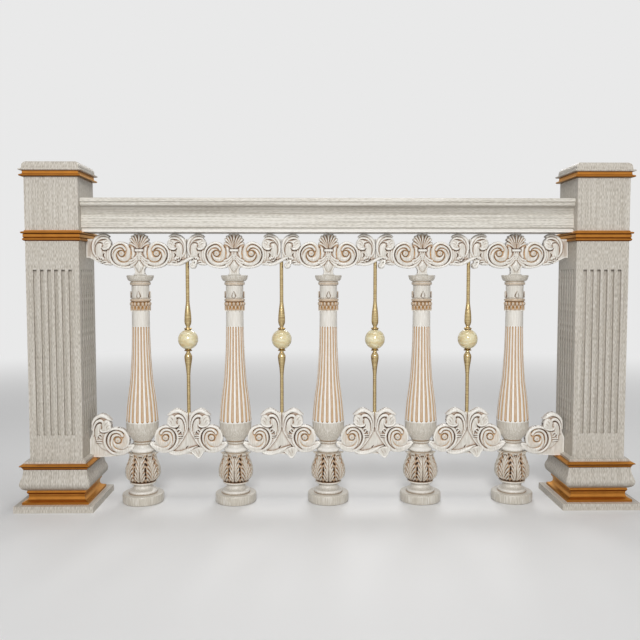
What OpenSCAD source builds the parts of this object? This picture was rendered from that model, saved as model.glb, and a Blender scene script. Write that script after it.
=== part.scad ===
// One bay of a carved and painted balustrade: two square newels, a moulded handrail and five
// turned, fluted balusters, tied together by scroll friezes above and scroll cartouches below,
// with a brass spindle and a polished ball in each gap between the balusters.
// Millimetres. The origin is on the floor under the middle baluster; +X runs along the rail,
// -Y is the front and +Z is up.

/* [Run] */
// Distance between the axes of two balusters
baluster_pitch = 293.5; // [270:0.5:340]
// Distance from an outer baluster's axis to the newel's inner face
end_gap = 165; // [155:1:200]

/* [Newel] */
// Width of the square newel post
newel_w = 160; // [130:1:200]
// Width of the square plinth under it
plinth_w = 240; // [220:1:280]
// Height of the plinth
plinth_h = 20; // [10:1:40]
// Height of the gilt moulding on the plinth
gilt_base_h = 42; // [30:1:60]
// How far that moulding stands out from the post
gilt_base_out = 20.5; // [16:0.5:28]
// Height of the bellied pedestal block
pedestal_h = 64; // [50:1:90]
// How far the pedestal stands out from the post
pedestal_out = 26; // [20:0.5:34]
// Height of the gilt fillet on the pedestal
gilt_fillet_h = 18; // [12:1:26]
// How far that fillet stands out from the post
gilt_fillet_out = 26; // [20:0.5:34]
// Height of the small cove at the foot of the shaft
cove_h = 11; // [8:1:20]
// How far the cove stands out from the post
cove_out = 12.5; // [8:0.5:20]
// Height of the shaft from the cove to the gilt band
shaft_h = 664; // [600:1:760]
// Height of the gilt band
gilt_band_h = 32; // [24:1:44]
// How far the gilt band stands out from the post
gilt_band_out = 10.5; // [6:0.5:16]
// Height of the head between the band and the cornice
head_h = 159; // [120:1:220]
// Height of the gilt cornice under the cap
cornice_h = 18; // [12:1:28]
// How far the cornice stands out from the post
cornice_out = 11.5; // [7:0.5:16]
// Height of the cap
cap_h = 28; // [20:1:40]
// How far the cap's lip stands out from the post
cap_out = 12.5; // [8:0.5:18]

/* [Newel flutes] */
// Width of a flute
flute_w = 11; // [8:0.5:15]
// Depth of a flute
flute_deep = 7.5; // [2:0.5:9]
// Distance between the middles of two flutes
flute_pitch = 21.2; // [18:0.1:23]
// Height of the flutes' lower ends above the cove
flute_rise = 74; // [40:1:110]
// Length of a flute
flute_len = 504; // [400:1:540]

/* [Handrail] */
// Height of the handrail
rail_h = 104; // [90:1:130]
// Width of the handrail at its top
rail_w = 124; // [110:1:150]

/* [Baluster] */
// Radius of the foot disc
foot_r = 64.5; // [56:0.5:76]
// Height of the foot disc
foot_h = 30; // [16:1:44]
// Radius of the ring on the foot
torus_r = 44.5; // [40:0.5:52]
// Height of the ring, the hollow and the collar on the foot
ankle_h = 36; // [28:1:48]
// Largest radius of the leafed bulb
bulb_r = 55; // [48:0.5:62]
// Height of the leafed bulb
bulb_h = 92; // [76:1:120]
// Height of the turned waist over the bulb
waist_h = 35; // [28:1:46]
// Largest radius of the belly
belly_r = 50.5; // [44:0.5:56]
// Height of the belly's round lower end, below the flutes
belly_h = 63; // [50:1:80]
// Height of the fluted taper
taper_h = 300; // [240:1:360]
// Radius of the neck over the taper
neck_r = 27.5; // [24:0.5:32]
// Height of the plain neck
neck_h = 48; // [30:1:70]
// Radius of the flat cap on the baluster
capital_r = 41; // [36:0.5:48]
// Height of the beads, the throat and the cap over the neck
capital_h = 112; // [100:1:130]
// Depth of the flutes in the taper
shaft_flute_deep = 2.2; // [1:0.1:3.5]

/* [Scroll frieze] */
// Height of the frieze between baluster and rail
frieze_h = 131; // [120:1:150]
// Radius of its two large volutes
frieze_volute_r = 41; // [34:0.5:44]
// Distance from the baluster's axis to a volute's middle
frieze_volute_x = 50.5; // [46:0.5:58]
// Radius of the leaf scroll beside each joint
frieze_leaf_r = 30; // [24:0.5:33]
// Half the width of the stem that stands on the baluster
stem_half = 14.5; // [12:0.5:20]

/* [Scroll cartouche] */
// Height of the volutes' middles above the floor
cartouche_z = 200; // [180:1:220]
// Radius of its two large volutes
cartouche_volute_r = 42.5; // [36:0.5:45]
// Distance from a baluster's axis to a volute's middle
cartouche_volute_in = 80; // [74:0.5:90]
// Radius of the two leaf scrolls over the volutes
cartouche_leaf_r = 30; // [24:0.5:34]
// Height of the leaf scrolls' tops above the volutes' middles
cartouche_rise = 96; // [92:1:104]
// Depth of the web below the volutes' middles
cartouche_fall = 54; // [50:1:60]
// How much lower the two half cartouches hang
half_cartouche_drop = 7.5; // [0:0.5:12]
// Height of their leaf scrolls' tops above their volutes' middles
half_cartouche_rise = 88; // [84:1:100]

/* [Carving] */
// Thickness of the plain web of the scroll panels
web_t = 16; // [12:0.5:24]
// Thickness over the leaf scrolls
leaf_t = 30; // [24:0.5:36]
// Thickness over the volutes
volute_t = 36; // [30:0.5:42]
// Width of the raised roll round a volute
roll_w = 10; // [6:0.5:14]
// Depth of the field inside that roll
roll_deep = 3; // [1:0.5:5]
// Radius of a volute's eye
eye_r = 9; // [6:0.5:12]

/* [Spindle] */
// Radius of the brass rod
rod_r = 5.5; // [5:0.5:9]
// Radius of the ball
ball_r = 31.5; // [26:0.5:38]
// Height of the ball's middle above the floor
ball_z = 515; // [460:1:560]
// Radius of the rod inside the ball
ball_bore_r = 5; // [4:0.5:6.5]

/* [Hidden] */

paint = "#C9C3B5";
pale_paint = "#E2DDD2";
gilt = "#C08A3A";
brass = "#CDB57A";
onyx = "#E3D9AE";

// Heights up the newel
gilt_base_z = plinth_h;
pedestal_z = gilt_base_z + gilt_base_h;
gilt_fillet_z = pedestal_z + pedestal_h;
cove_z = gilt_fillet_z + gilt_fillet_h;
shaft_z = cove_z + cove_h;
gilt_band_z = shaft_z + shaft_h;
head_z = gilt_band_z + gilt_band_h;
cornice_z = head_z + head_h;
cap_z = cornice_z + cornice_h;

// Heights up the baluster
ankle_z = foot_h;
bulb_z = ankle_z + ankle_h;
waist_z = bulb_z + bulb_h;
belly_z = waist_z + waist_h;
taper_z = belly_z + belly_h;
neck_z = taper_z + taper_h;
capital_z = neck_z + neck_h;
baluster_top = capital_z + capital_h;
rail_z = baluster_top + frieze_h;

balusters = 5;
outer_baluster = (balusters - 1) / 2;
newel_face_x = outer_baluster * baluster_pitch + end_gap;
newel_x = newel_face_x + newel_w / 2;
half_newel = newel_w / 2;
joint_x = baluster_pitch / 2;
round_fn = 64;
small_fn = 32;

// The newel has six flutes on each face, and the baluster twenty round it, which stand a little
// to the left of the front
newel_flutes = 6;
shaft_flutes = 20;
shaft_flute_turn = 10;
shaft_flute_start = -10.7;

// Points of an arc from a to b that bows by sag to the right of the way from a to b
function arc(a, b, sag, n = 6) =
    let (d = b - a, chord = norm(d), way = d / chord, side = [way.y, -way.x], turn = 2 * atan(2 * sag / chord))
    let (r = chord / (2 * sin(turn)), c = (a + b) / 2 - side * r * cos(turn))
    [for (i = [0:n]) let (t = turn * (2 * i / n - 1)) c + r * (side * cos(t) + way * sin(t))];

// A smooth curve through every point of p, with n steps between two points
function blend(a, b, c, d, t) =
    0.5 * (2 * b + (c - a) * t + (2 * a - 5 * b + 4 * c - d) * t * t + (3 * b - a - 3 * c + d) * t * t * t);
function smooth(p, n = 3) =
    let (last = len(p) - 1)
    concat(
        [for (i = [0:last - 1]) for (j = [0:n - 1])
            blend(p[max(i - 1, 0)], p[i], p[i + 1], p[min(i + 2, last)], j / n)],
        [p[last]]
    );

function lift(p, z) = [for (q = p) [q.x, q.y + z]];

// Outline in X and Z made t thick, centred on the middle plane
module panel(t) rotate([90, 0, 0]) linear_extrude(height = t, center = true) children();
module disc(r, t) rotate([90, 0, 0]) cylinder(r = r, h = t, center = true, $fn = round_fn);

// A moulding mitred round the square post; profile gives [distance out from the post, height]
module mitred(profile, z) {
    half = [for (p = profile) [half_newel + p.x, p.y]];
    outline = concat(half, [for (i = [len(half) - 1:-1:0]) [-half[i].x, half[i].y]]);
    translate([0, 0, z]) intersection() {
        rotate([90, 0, 0]) linear_extrude(height = 2 * plinth_w, center = true) polygon(outline);
        rotate([90, 0, 90]) linear_extrude(height = 2 * plinth_w, center = true) polygon(outline);
    }
}

module collar(profile, z, h) {
    difference() {
        mitred(profile, z);
        translate([-half_newel, -half_newel, z - 1]) cube([newel_w, newel_w, h + 2]);
    }
}

module at_newel(side) translate([side * newel_x, 0, 0]) children();

module plinth(side) color(paint) at_newel(side)
    translate([-plinth_w / 2, -plinth_w / 2, 0]) cube([plinth_w, plinth_w, plinth_h]);

// A square lip, a hollow and a fillet
module gilt_base(side) {
    lip = gilt_base_out;
    profile = concat(
        [[lip, 0], [lip, 7], [lip - 4.5, 8.5]],
        arc([lip - 10.5, 11], [5, 25], -2.5),
        [[5.5, 29]],
        arc([8, 32], [8, gilt_base_h - 2], 1.5),
        [[8, gilt_base_h]]
    );
    color(gilt) at_newel(side) collar(profile, gilt_base_z, gilt_base_h);
}

// Swells to its belly near the foot and draws in to the top
module pedestal(side) {
    out = pedestal_out;
    profile = smooth([
        [out - 15, 0], [out - 4, 8], [out, 20], [out - 1.5, 30], [out - 6, 41], [out - 9, 52],
        [out - 10, pedestal_h]
    ]);
    color(paint) at_newel(side) collar(profile, pedestal_z, pedestal_h);
}

function gilt_fillet_profile() = let (out = gilt_fillet_out) concat(
    [[out - 11, 0], [out - 8.5, 3.5]],
    arc([out - 8.5, 4], [out - 1, 11.5], -1.5, 4),
    [[out, 13], [out - 1, 14.5]],
    [[out - 8.5, gilt_fillet_h - 0.5], [out - 11, gilt_fillet_h]]
);
module gilt_fillet(side)
    color(gilt) at_newel(side) collar(gilt_fillet_profile(), gilt_fillet_z, gilt_fillet_h);

function cove_profile() = concat(
    [[cove_out, 0], [cove_out, cove_h - 4]],
    arc([cove_out - 1, cove_h - 3.5], [0.5, cove_h], -0.8, 4)
);
module cove(side) color(paint) at_newel(side) collar(cove_profile(), cove_z, cove_h);

// The post stands on the plinth and carries the cap; the mouldings fit round it, and its flutes are
// square grooves
module newel_post(side) {
    color(paint) at_newel(side) difference() {
        translate([-half_newel, -half_newel, plinth_h]) cube([newel_w, newel_w, cap_z - plinth_h]);
        for (face = [0:3], k = [0:newel_flutes - 1])
            rotate([0, 0, 90 * face])
                translate([
                    (k - (newel_flutes - 1) / 2) * flute_pitch - flute_w / 2,
                    -half_newel - flute_deep,
                    shaft_z + flute_rise
                ])
                    cube([flute_w, 2 * flute_deep, flute_len]);
    }
}

function gilt_band_profile() = let (out = gilt_band_out) concat(
    [[out - 9, 0]],
    arc([out - 6, 1.5], [out - 6, 8.5], 2, 4),
    [[out - 7.5, 10.5], [out - 5.5, 12], [out - 5.5, 20], [out - 7, 21.5]],
    arc([out - 3, 22], [out - 3, 28], 3, 4),
    [[out - 8, 29], [out - 8.5, gilt_band_h]]
);
module gilt_band(side) color(gilt) at_newel(side) collar(gilt_band_profile(), gilt_band_z, gilt_band_h);

function cornice_profile() = let (out = cornice_out) concat(
    [[out - 9, 0]],
    arc([out - 3, 1], [out - 3, 7], 3, 4),
    [[out - 8, 9], [out - 8.5, cornice_h]]
);
module gilt_cornice(side) color(gilt) at_newel(side) collar(cornice_profile(), cornice_z, cornice_h);

// What meets a newel beside its gilt band and cornice is scribed round them
module scribed() difference() {
    children();
    for (side = [-1, 1]) at_newel(side) {
        mitred(gilt_band_profile(), gilt_band_z);
        mitred(cornice_profile(), cornice_z);
    }
}

// A thin lip, a step and a low ovolo up to the flat top
module cap(side) {
    out = cap_out;
    profile = concat(
        [[out - 4, 0], [out, 1.5], [out, 4.5], [out - 7, 6.5], [out - 7.5, 10]],
        arc([out - 8, 10.5], [out - 18, cap_h], 3.5, 8)
    );
    color(paint) at_newel(side) mitred(profile, cap_z);
}

// Rounded shoulders, a quirk, an ovolo over a leaning neck, a broad flat face, a groove and a fillet below
module handrail() {
    half = rail_w / 2;
    low = [half - 14, 0];
    side = concat(
        [low, [half - 12, 1], [half - 12, 6.5], [half - 14, 7.5]],
        arc([half - 16, 8], [half - 16, 13], -2.5, 4),
        [[half - 12, 14.5], [half - 12, 53], [half - 13, 54], [half - 17, 55]],
        arc([half - 17, 56], [half - 9, 75], -0.8, 5),
        arc([half - 8, 76], [half - 2, 87], 2.6, 5),
        [[half - 4, 88.5], [half - 4, 91], [half, 92]],
        arc([half, rail_h - 8], [half - 8, rail_h], 2.4, 5)
    );
    outline = concat(side, [for (i = [len(side) - 1:-1:0]) [-side[i].x, side[i].y]]);
    color(paint) scribed()
        translate([-newel_face_x, 0, rail_z])
            rotate([90, 0, 90])
                linear_extrude(height = 2 * newel_face_x) polygon(outline);
}

// The taper as shares of the way from neck to belly and of its height
taper_shape = [
    [1, 0], [0.9, 0.11], [0.75, 0.22], [0.56, 0.33], [0.38, 0.43], [0.25, 0.54], [0.15, 0.65], [0.08, 0.75],
    [0.02, 0.9], [0, 1]
];
function taper_curve(inset = 0) =
    [for (p = taper_shape) [neck_r + p.x * (belly_r - neck_r) - inset, taper_z + p.y * taper_h]];

function foot_profile() = concat(
    [[0, 0], [foot_r - 1.5, 0], [foot_r, 1.5]],
    arc([foot_r, foot_h - 3], [foot_r - 3, foot_h], 0.9, 3)
);
function ankle_profile() = lift(concat(
    arc([torus_r - 4.5, 0], [torus_r - 4.5, 12], 4.5, 6),
    [[torus_r - 6.5, 12], [torus_r - 6.5, 14]],
    arc([torus_r - 7, 14], [torus_r - 7, 30], -8, 6),
    arc([torus_r - 5, 30], [torus_r - 5, ankle_h], 1.5, 3)
), ankle_z);
// Full near its foot, with the leaves' tips curling out at the top
function bulb_profile() = lift(concat(
    smooth([
        [bulb_r - 16, 0], [bulb_r - 10, 5], [bulb_r - 1.5, 18], [bulb_r, 31], [bulb_r - 2, 47],
        [bulb_r - 8, 63], [bulb_r - 13, 76], [bulb_r - 14.5, 83]
    ], 2),
    [[bulb_r - 11, bulb_h - 3], [bulb_r - 12, bulb_h]]
), bulb_z);
function waist_profile() = lift(concat(
    arc([33.5, 1], [33.5, 15], 2.1, 5),
    [[30, 15], [30, 16]],
    arc([29.5, 16], [27.5, waist_h - 4], -4.5, 6),
    [[28.3, waist_h - 4], [28.3, waist_h]]
), waist_z);
function belly_profile() = smooth([
    [28.9, belly_z], [belly_r - 12.5, belly_z + 17], [belly_r - 4, belly_z + 33],
    [belly_r - 0.8, belly_z + 46], [belly_r, taper_z]
], 3);
function capital_profile() = lift(concat(
    [[neck_r, 0]],
    arc([28, 2], [28, 14], 2.5, 4),
    arc([28.5, 16], [28.5, 28], 3.2, 6),
    [[30, 29], [30, 37], [26, 39], [26, 79]],
    arc([29.5, 80], [29.5, 91], 2.3, 5),
    [[capital_r - 9.5, 92]],
    arc([capital_r - 9.5, 93], [capital_r - 1.2, capital_h - 7], 2.6, 5),
    [[capital_r, capital_h - 1.5], [capital_r - 0.8, capital_h], [0, capital_h]]
), capital_z);

module turned_baluster() {
    rotate_extrude($fn = round_fn)
        polygon(concat(
            foot_profile(), ankle_profile(), bulb_profile(), waist_profile(), belly_profile(),
            taper_curve(), capital_profile()
        ));
}

module at_baluster(k) translate([(k - 1 - outer_baluster) * baluster_pitch, 0, 0]) children();
module at_gap(k) translate([(k - outer_baluster) * baluster_pitch - joint_x, 0, 0]) children();

module baluster(k) {
    inner = taper_curve(shaft_flute_deep);
    cutter = concat(inner, [[belly_r + 5, taper_z + taper_h], [belly_r + 5, taper_z]]);
    color(paint) at_baluster(k) difference() {
        turned_baluster();
        for (i = [0:shaft_flutes - 1])
            rotate([0, 0, shaft_flute_start + 360 / shaft_flutes * i])
                rotate_extrude(angle = shaft_flute_turn, $fn = round_fn) polygon(cutter);
    }
}

// A raised roll, a sunk field and a round eye, on both faces
module volute(r) {
    difference() {
        disc(r, volute_t);
        for (face = [-1, 1]) translate([0, face * volute_t / 2, 0]) disc(r - roll_w, 2 * roll_deep);
    }
    disc(eye_r, volute_t);
}

// A round leaf scroll with a curled bud
module leaf_scroll(r, toward) {
    disc(r, leaf_t);
    translate([toward * r * 0.25, 0, -r * 0.5]) disc(r * 0.35, leaf_t + 5);
}

// Palmette over the baluster's axis: seven lobes that fan out from the tie
module palmette() {
    top = frieze_h;
    panel(leaf_t) polygon([
        [-13, top - 61], [13, top - 61], [15, top - 47], [32, top - 35], [27, top - 19], [22, top - 10],
        [-22, top - 10], [-27, top - 19], [-32, top - 35], [-15, top - 47]
    ]);
    for (side = [-1, 1]) {
        translate([side * 27, 0, top - 32]) disc(7, leaf_t - 2);
        translate([side * 22, 0, top - 15]) disc(8, leaf_t - 1);
        translate([side * 11, 0, top - 9]) disc(9, leaf_t + 1);
    }
    translate([0, 0, top - 10]) disc(10, leaf_t + 3);
    translate([0, 0, top - 56]) rotate([0, 90, 0]) cylinder(r = 5, h = 30, center = true, $fn = small_fn);
}

// Half of the frieze, from the baluster's axis to x = reach, on the side toward
module frieze_half(toward, reach, leaf_x) {
    leaf_z = frieze_h - frieze_leaf_r + 1;
    joint_z = reach > joint_x ? 52 : 41;
    panel(web_t) polygon([
        for (p = concat(
            [[0, 0], [stem_half + 8, 0]],
            arc([stem_half + 8, 0], [stem_half, 8], -2, 3),
            arc([stem_half, 12], [stem_half + 12, 24], -3.5, 4),
            [[frieze_volute_x, 30], [leaf_x - 24, 30], [leaf_x + 4, 29], [reach - 8, joint_z], [reach, joint_z]],
            [[reach, frieze_h - 22], [leaf_x, leaf_z + 10], [frieze_volute_x, 94], [0, 98]]
        )) [toward * p.x, p.y]
    ]);
    translate([toward * frieze_volute_x, 0, 63]) volute(frieze_volute_r);
    translate([toward * leaf_x, 0, leaf_z]) leaf_scroll(frieze_leaf_r, -toward);
}

// The leaf that sweeps up to a joint on the right, and the curled drop on the left of the next
module sweeping_leaf(leaf_x) {
    panel(leaf_t) polygon(concat(
        arc([leaf_x - 20, 29], [joint_x, 41], 5, 6),
        arc([joint_x, 52], [leaf_x - 16, 45], -3, 5)
    ));
}
module curled_drop() {
    translate([-joint_x + 17.5, 0, 30]) disc(8.5, leaf_t);
    panel(leaf_t) polygon([[-joint_x + 10, 30], [-joint_x + 26, 30], [-joint_x + 34, 56], [-joint_x + 14, 56]]);
}

module frieze_panel(k) {
    leaf_x = joint_x - frieze_leaf_r - 1;
    first = k == 1;
    last = k == balusters;
    at_baluster(k) translate([0, 0, baluster_top]) difference() {
        union() {
            palmette();
            panel(web_t + 8) polygon([[-stem_half, 0], [stem_half, 0], [18, 40], [10, 70], [-10, 70], [-18, 40]]);
            frieze_half(-1, first ? end_gap : joint_x, leaf_x);
            frieze_half(1, last ? end_gap : joint_x, leaf_x);
            if (!first) curled_drop();
            sweeping_leaf(leaf_x);
        }
        translate([-newel_x, -plinth_w / 2, frieze_h]) cube([2 * newel_x, plinth_w, frieze_h]);
        if (!last) translate([joint_x, -plinth_w / 2, 0]) cube([plinth_w, plinth_w, frieze_h]);
    }
}

module frieze(k) color(pale_paint) {
    if (k == 1 || k == balusters) scribed() frieze_panel(k);
    else frieze_panel(k);
}

// Right half of a cartouche, from its centre line to the baluster at x = reach
module cartouche_half(reach, leaf_r, leaf_x, rise) {
    r = cartouche_volute_r;
    volute_x = reach - cartouche_volute_in;
    leaf_z = rise - leaf_r;
    panel(web_t) polygon(concat(
        [[0, 3 - cartouche_fall], [volute_x - 25, -cartouche_fall], [volute_x, -r]],
        arc([volute_x + 12, -r + 3], [reach - 22, -14], 4, 6),
        [[reach - 24, -6], [reach - 44, 4], [volute_x, r], [leaf_x + 20, r + 4], [leaf_x, leaf_z], [0, leaf_z - 6]]
    ));
    panel(volute_t - 4) polygon(concat(
        arc([volute_x, -r + 2], [reach - 22, -14], 7, 8),
        [[reach - 24, -6], [reach - 46, 6], [volute_x, 0]]
    ));
    translate([volute_x, 0, 0]) volute(r);
    translate([leaf_x, 0, leaf_z]) leaf_scroll(leaf_r, 1);
}

// The groove between the two leaf scrolls, in which the spindle stands
spindle_seat = cartouche_rise - 34;

module cartouche(k) {
    leaf_r = cartouche_leaf_r;
    top = cartouche_rise;
    low = -cartouche_fall;
    color(pale_paint) at_gap(k) difference() {
        translate([0, 0, cartouche_z]) difference() {
            union() {
                for (side = [0, 1]) mirror([side, 0, 0]) cartouche_half(joint_x, leaf_r, leaf_r + 5, top);
                panel(leaf_t) polygon([
                    [-26, top - 46], [26, top - 46], [32, top - 6], [6, top - 16], [-6, top - 16], [-32, top - 6]
                ]);
                panel(leaf_t - 6) polygon(concat(
                    arc([-46, low + 4], [10, low + 2], 3, 6),
                    arc([18, low - 3], [44, low + 4], 9, 6),
                    [[40, low + 20], [-40, low + 14]]
                ));
            }
            translate([-rod_r, -50, spindle_seat]) cube([2 * rod_r, 100, 60]);
        }
        for (side = [-1, 1]) translate([side * joint_x, 0, 0]) turned_baluster();
    }
}

// Half a cartouche with a plain web that butts the newel over its gilt fillet and round its cove
module half_cartouche(side) {
    mid_x = end_gap - joint_x - 4;
    drop_z = cartouche_z - half_cartouche_drop;
    leaf_r = cartouche_leaf_r + 2;
    color(pale_paint)
        mirror([side > 0 ? 1 : 0, 0, 0])
            translate([-newel_face_x, 0, 0]) difference() {
                union() {
                    translate([mid_x, 0, drop_z])
                        cartouche_half(end_gap - mid_x, leaf_r, leaf_r + 2 - mid_x, half_cartouche_rise);
                    panel(web_t) polygon([
                        [0, cove_z], [0, drop_z + 14], [2.5, drop_z + half_cartouche_rise - leaf_r],
                        [leaf_r, drop_z + 40], [mid_x + 40, drop_z],
                        [end_gap - cartouche_volute_in, drop_z - 46], [45, cove_z + 0.5], [24, cove_z + 0.5]
                    ]);
                }
                translate([-plinth_w, -plinth_w / 2, 0]) cube([plinth_w, plinth_w, rail_z]);
                translate([-half_newel, 0, 0]) {
                    mitred(gilt_fillet_profile(), gilt_fillet_z);
                    mitred(cove_profile(), cove_z);
                }
                translate([end_gap, 0, 0]) turned_baluster();
            }
}

// Plain rod, swelling towards the ball from above and below, with a flared collar on each side
module spindle(k) {
    low = cartouche_z + spindle_seat;
    top = baluster_top + 41;
    ball_top = ball_z + sqrt(ball_r * ball_r - ball_bore_r * ball_bore_r);
    ball_low = 2 * ball_z - ball_top;
    lower = concat(
        [[0, low], [rod_r, low]],
        smooth([
            [rod_r, ball_low - 84], [rod_r + 3.5, ball_low - 58], [rod_r + 6.5, ball_low - 30],
            [rod_r + 4.5, ball_low - 14], [rod_r, ball_low - 6]
        ], 4),
        [[rod_r + 6.5, ball_low - 3], [rod_r + 7, ball_low - 1], [ball_bore_r, ball_low]]
    );
    upper = concat(
        [[ball_bore_r, ball_top], [rod_r + 6.5, ball_top + 1], [rod_r + 5.5, ball_top + 3]],
        smooth([
            [rod_r, ball_top + 6], [rod_r + 4.5, ball_top + 16], [rod_r + 5, ball_top + 30],
            [rod_r + 4, ball_top + 50], [rod_r, ball_top + 82]
        ], 4),
        [[rod_r, top], [0, top]]
    );
    color(brass) at_gap(k) rotate_extrude($fn = small_fn) polygon(concat(lower, upper));
}

module ball(k) {
    color(onyx) at_gap(k) translate([0, 0, ball_z]) difference() {
        sphere(r = ball_r, $fn = round_fn);
        cylinder(r = ball_bore_r, h = 3 * ball_r, center = true, $fn = small_fn);
    }
}

plinth(-1);  // left_plinth
gilt_base(-1);  // left_gilt_base
pedestal(-1);  // left_pedestal
gilt_fillet(-1);  // left_gilt_fillet
cove(-1);  // left_cove
newel_post(-1);  // left_newel_post
gilt_band(-1);  // left_gilt_band
gilt_cornice(-1);  // left_gilt_cornice
cap(-1);  // left_cap
plinth(1);  // right_plinth
gilt_base(1);  // right_gilt_base
pedestal(1);  // right_pedestal
gilt_fillet(1);  // right_gilt_fillet
cove(1);  // right_cove
newel_post(1);  // right_newel_post
gilt_band(1);  // right_gilt_band
gilt_cornice(1);  // right_gilt_cornice
cap(1);  // right_cap
handrail();
baluster(1);  // baluster_1
baluster(2);  // baluster_2
baluster(3);  // baluster_3
baluster(4);  // baluster_4
baluster(5);  // baluster_5
frieze(1);  // frieze_1
frieze(2);  // frieze_2
frieze(3);  // frieze_3
frieze(4);  // frieze_4
frieze(5);  // frieze_5
half_cartouche(-1);  // left_half_cartouche
cartouche(1);  // cartouche_1
cartouche(2);  // cartouche_2
cartouche(3);  // cartouche_3
cartouche(4);  // cartouche_4
half_cartouche(1);  // right_half_cartouche
spindle(1);  // spindle_1
spindle(2);  // spindle_2
spindle(3);  // spindle_3
spindle(4);  // spindle_4
ball(1);  // ball_1
ball(2);  // ball_2
ball(3);  // ball_3
ball(4);  // ball_4
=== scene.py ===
"""One bay of a carved and painted balustrade: the looks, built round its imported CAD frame.

Balusters, scroll friezes and scroll cartouches are carved in relief as height fields; the newels, the
handrail and the balls keep their CAD shapes and get their finishes. Lengths inside the functions are
millimetres.
"""
import math

import bpy
import numpy as np
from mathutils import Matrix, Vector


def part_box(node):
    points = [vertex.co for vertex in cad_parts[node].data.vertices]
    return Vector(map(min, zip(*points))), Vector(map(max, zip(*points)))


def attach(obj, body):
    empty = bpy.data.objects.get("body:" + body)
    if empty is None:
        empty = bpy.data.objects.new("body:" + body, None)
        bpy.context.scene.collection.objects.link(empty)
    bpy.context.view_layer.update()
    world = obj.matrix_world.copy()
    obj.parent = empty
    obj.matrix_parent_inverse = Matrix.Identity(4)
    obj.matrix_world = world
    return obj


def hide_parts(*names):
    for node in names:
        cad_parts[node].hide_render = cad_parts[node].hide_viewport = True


bl_info = {
    "name": "Carved balustrade bay",
    "version": (1, 0, 0),
    "blender": (4, 5, 0),
    "location": "3D View > Sidebar > Balustrade",
    "description": "Carved friezes, cartouches and turned balusters round a packed CAD frame",
    "category": "Object",
}

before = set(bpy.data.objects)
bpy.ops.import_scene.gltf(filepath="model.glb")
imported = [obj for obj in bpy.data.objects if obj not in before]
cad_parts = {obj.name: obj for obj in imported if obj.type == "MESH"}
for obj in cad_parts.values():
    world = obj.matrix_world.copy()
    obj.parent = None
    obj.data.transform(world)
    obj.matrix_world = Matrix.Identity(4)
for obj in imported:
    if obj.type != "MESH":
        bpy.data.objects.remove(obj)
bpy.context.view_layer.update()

MM = 0.001
BALUSTERS = 5
BODY = "root"

# The bay that the carving is drawn for, in mm: half the distance between two balusters' axes, and the
# distance from an outer baluster's axis to its newel
HALF_PITCH = 146.75
END_GAP = 165

# Where a whole cartouche's volutes have their eyes, in mm: distance from the gap's middle, and height
EYE_X = 72.3
EYE_Z = 205.5

# The bulb's lowest and highest circle, the carved height that counts as its plain surface, and the width that
# stands for one degree round it, in mm
BULB_LOW = 66
BULB_TOP = 158
BULB_GROUND = 12
BULB_STEP = 0.94

# Width in mm at which the timber's pores are drawn
PORE = 1.6

WHITE = (1, 1, 1, 1)
BLACK = (0, 0, 0, 1)


def hex_colour(text):
    """Linear colour of an sRGB hex value."""
    srgb = [int(text[k:k + 2], 16) / 255 for k in (1, 3, 5)]
    return [c / 12.92 if c <= 0.04045 else ((c + 0.055) / 1.055) ** 2.4 for c in srgb] + [1.0]


def colour_property(name, description, text):
    """A colour for the panel, written as an sRGB hex value."""
    return bpy.props.FloatVectorProperty(
        name=name, description=description, size=4, subtype="COLOR", min=0, max=1, default=hex_colour(text)
    )


def length_property(name, description, millimetres):
    """A length for the panel, written in mm and held in metres."""
    return bpy.props.FloatProperty(name=name, description=description, default=millimetres * MM, min=0,
                                   subtype="DISTANCE", unit="LENGTH")


class BalustradeSizes(bpy.types.PropertyGroup):
    """Sizes that the carved and turned pieces are built to."""

    pitch: length_property("Pitch", "Distance between the axes of two balusters", 2 * HALF_PITCH)
    end_gap: length_property("End gap", "Distance from an outer baluster's axis to the newel's face",
                             END_GAP)
    baluster_top: length_property("Baluster top", "Height of the flat cap on which a frieze stands", 716)
    carving_cell: length_property("Carving cell", "Grid step of the carved panels", 1.3)
    flute_depth: length_property("Flute depth", "Depth of the flutes in a baluster's taper", 2.4)
    ball_radius: length_property("Ball radius", "Radius of the onyx balls", 31.5)
    ball_height: length_property("Ball height", "Height of the balls' middles", 515)


class BalustradeFinish(bpy.types.PropertyGroup):
    """Colours of the paint, the patina, the metals and the stone, and of the painted shade and highlight."""

    post: colour_property("Newel paint", "Brushed paint on the newels", "#C0B9AD")
    rail: colour_property("Rail paint", "Brushed paint on the handrail", "#D2CDC2")
    # grain also serves as painted shade on downward faces and in the newels' flutes
    grain: colour_property("Grain", "Open pores of the grain", "#7B7267")
    turning: colour_property("Turning paint", "Paint on the balusters", "#C9C2B5")
    carving: colour_property("Carving paint", "Paint on the carved panels", "#D8D3C9")
    # ground also serves as the painted highlight on crests, fillets and the rail's foot fillet
    ground: colour_property("White ground", "Ground that shows where the paint is rubbed down", "#FFFDF8")
    # the brown glaze in the hollows, partly patina and partly painted shade
    patina_and_shade: colour_property("Patina", "Brown glaze wiped into the hollows", "#937154")
    # painted shade: the near-black of the drilled holes and the deepest hollows
    deep_shade: colour_property("Patina, deep", "Glaze in the drilled holes", "#2E1A0E")
    # along the baluster flutes' walls this gilt glaze is partly painted shade
    flute: colour_property("Gilt glaze", "Glaze in the flutes and between the palmette's lobes", "#C08E4C")
    gold: colour_property("Gold", "Gold leaf", "#BC7C34")
    # gold_deep also paints shade on the gilt mouldings' undersides
    gold_deep: colour_property("Gold, deep", "Bole under the worn leaf", "#6E3A14")
    brass: colour_property("Brass", "Polished brass", "#DCC896")
    onyx: colour_property("Onyx", "Ground of the onyx", "#DDD0A4")
    onyx_vein: colour_property("Onyx vein", "Veins of the onyx", "#F0E9CC")
    floor: colour_property("Floor", "Floor and background", "#E9E9E9")


# Lines and bands


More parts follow.
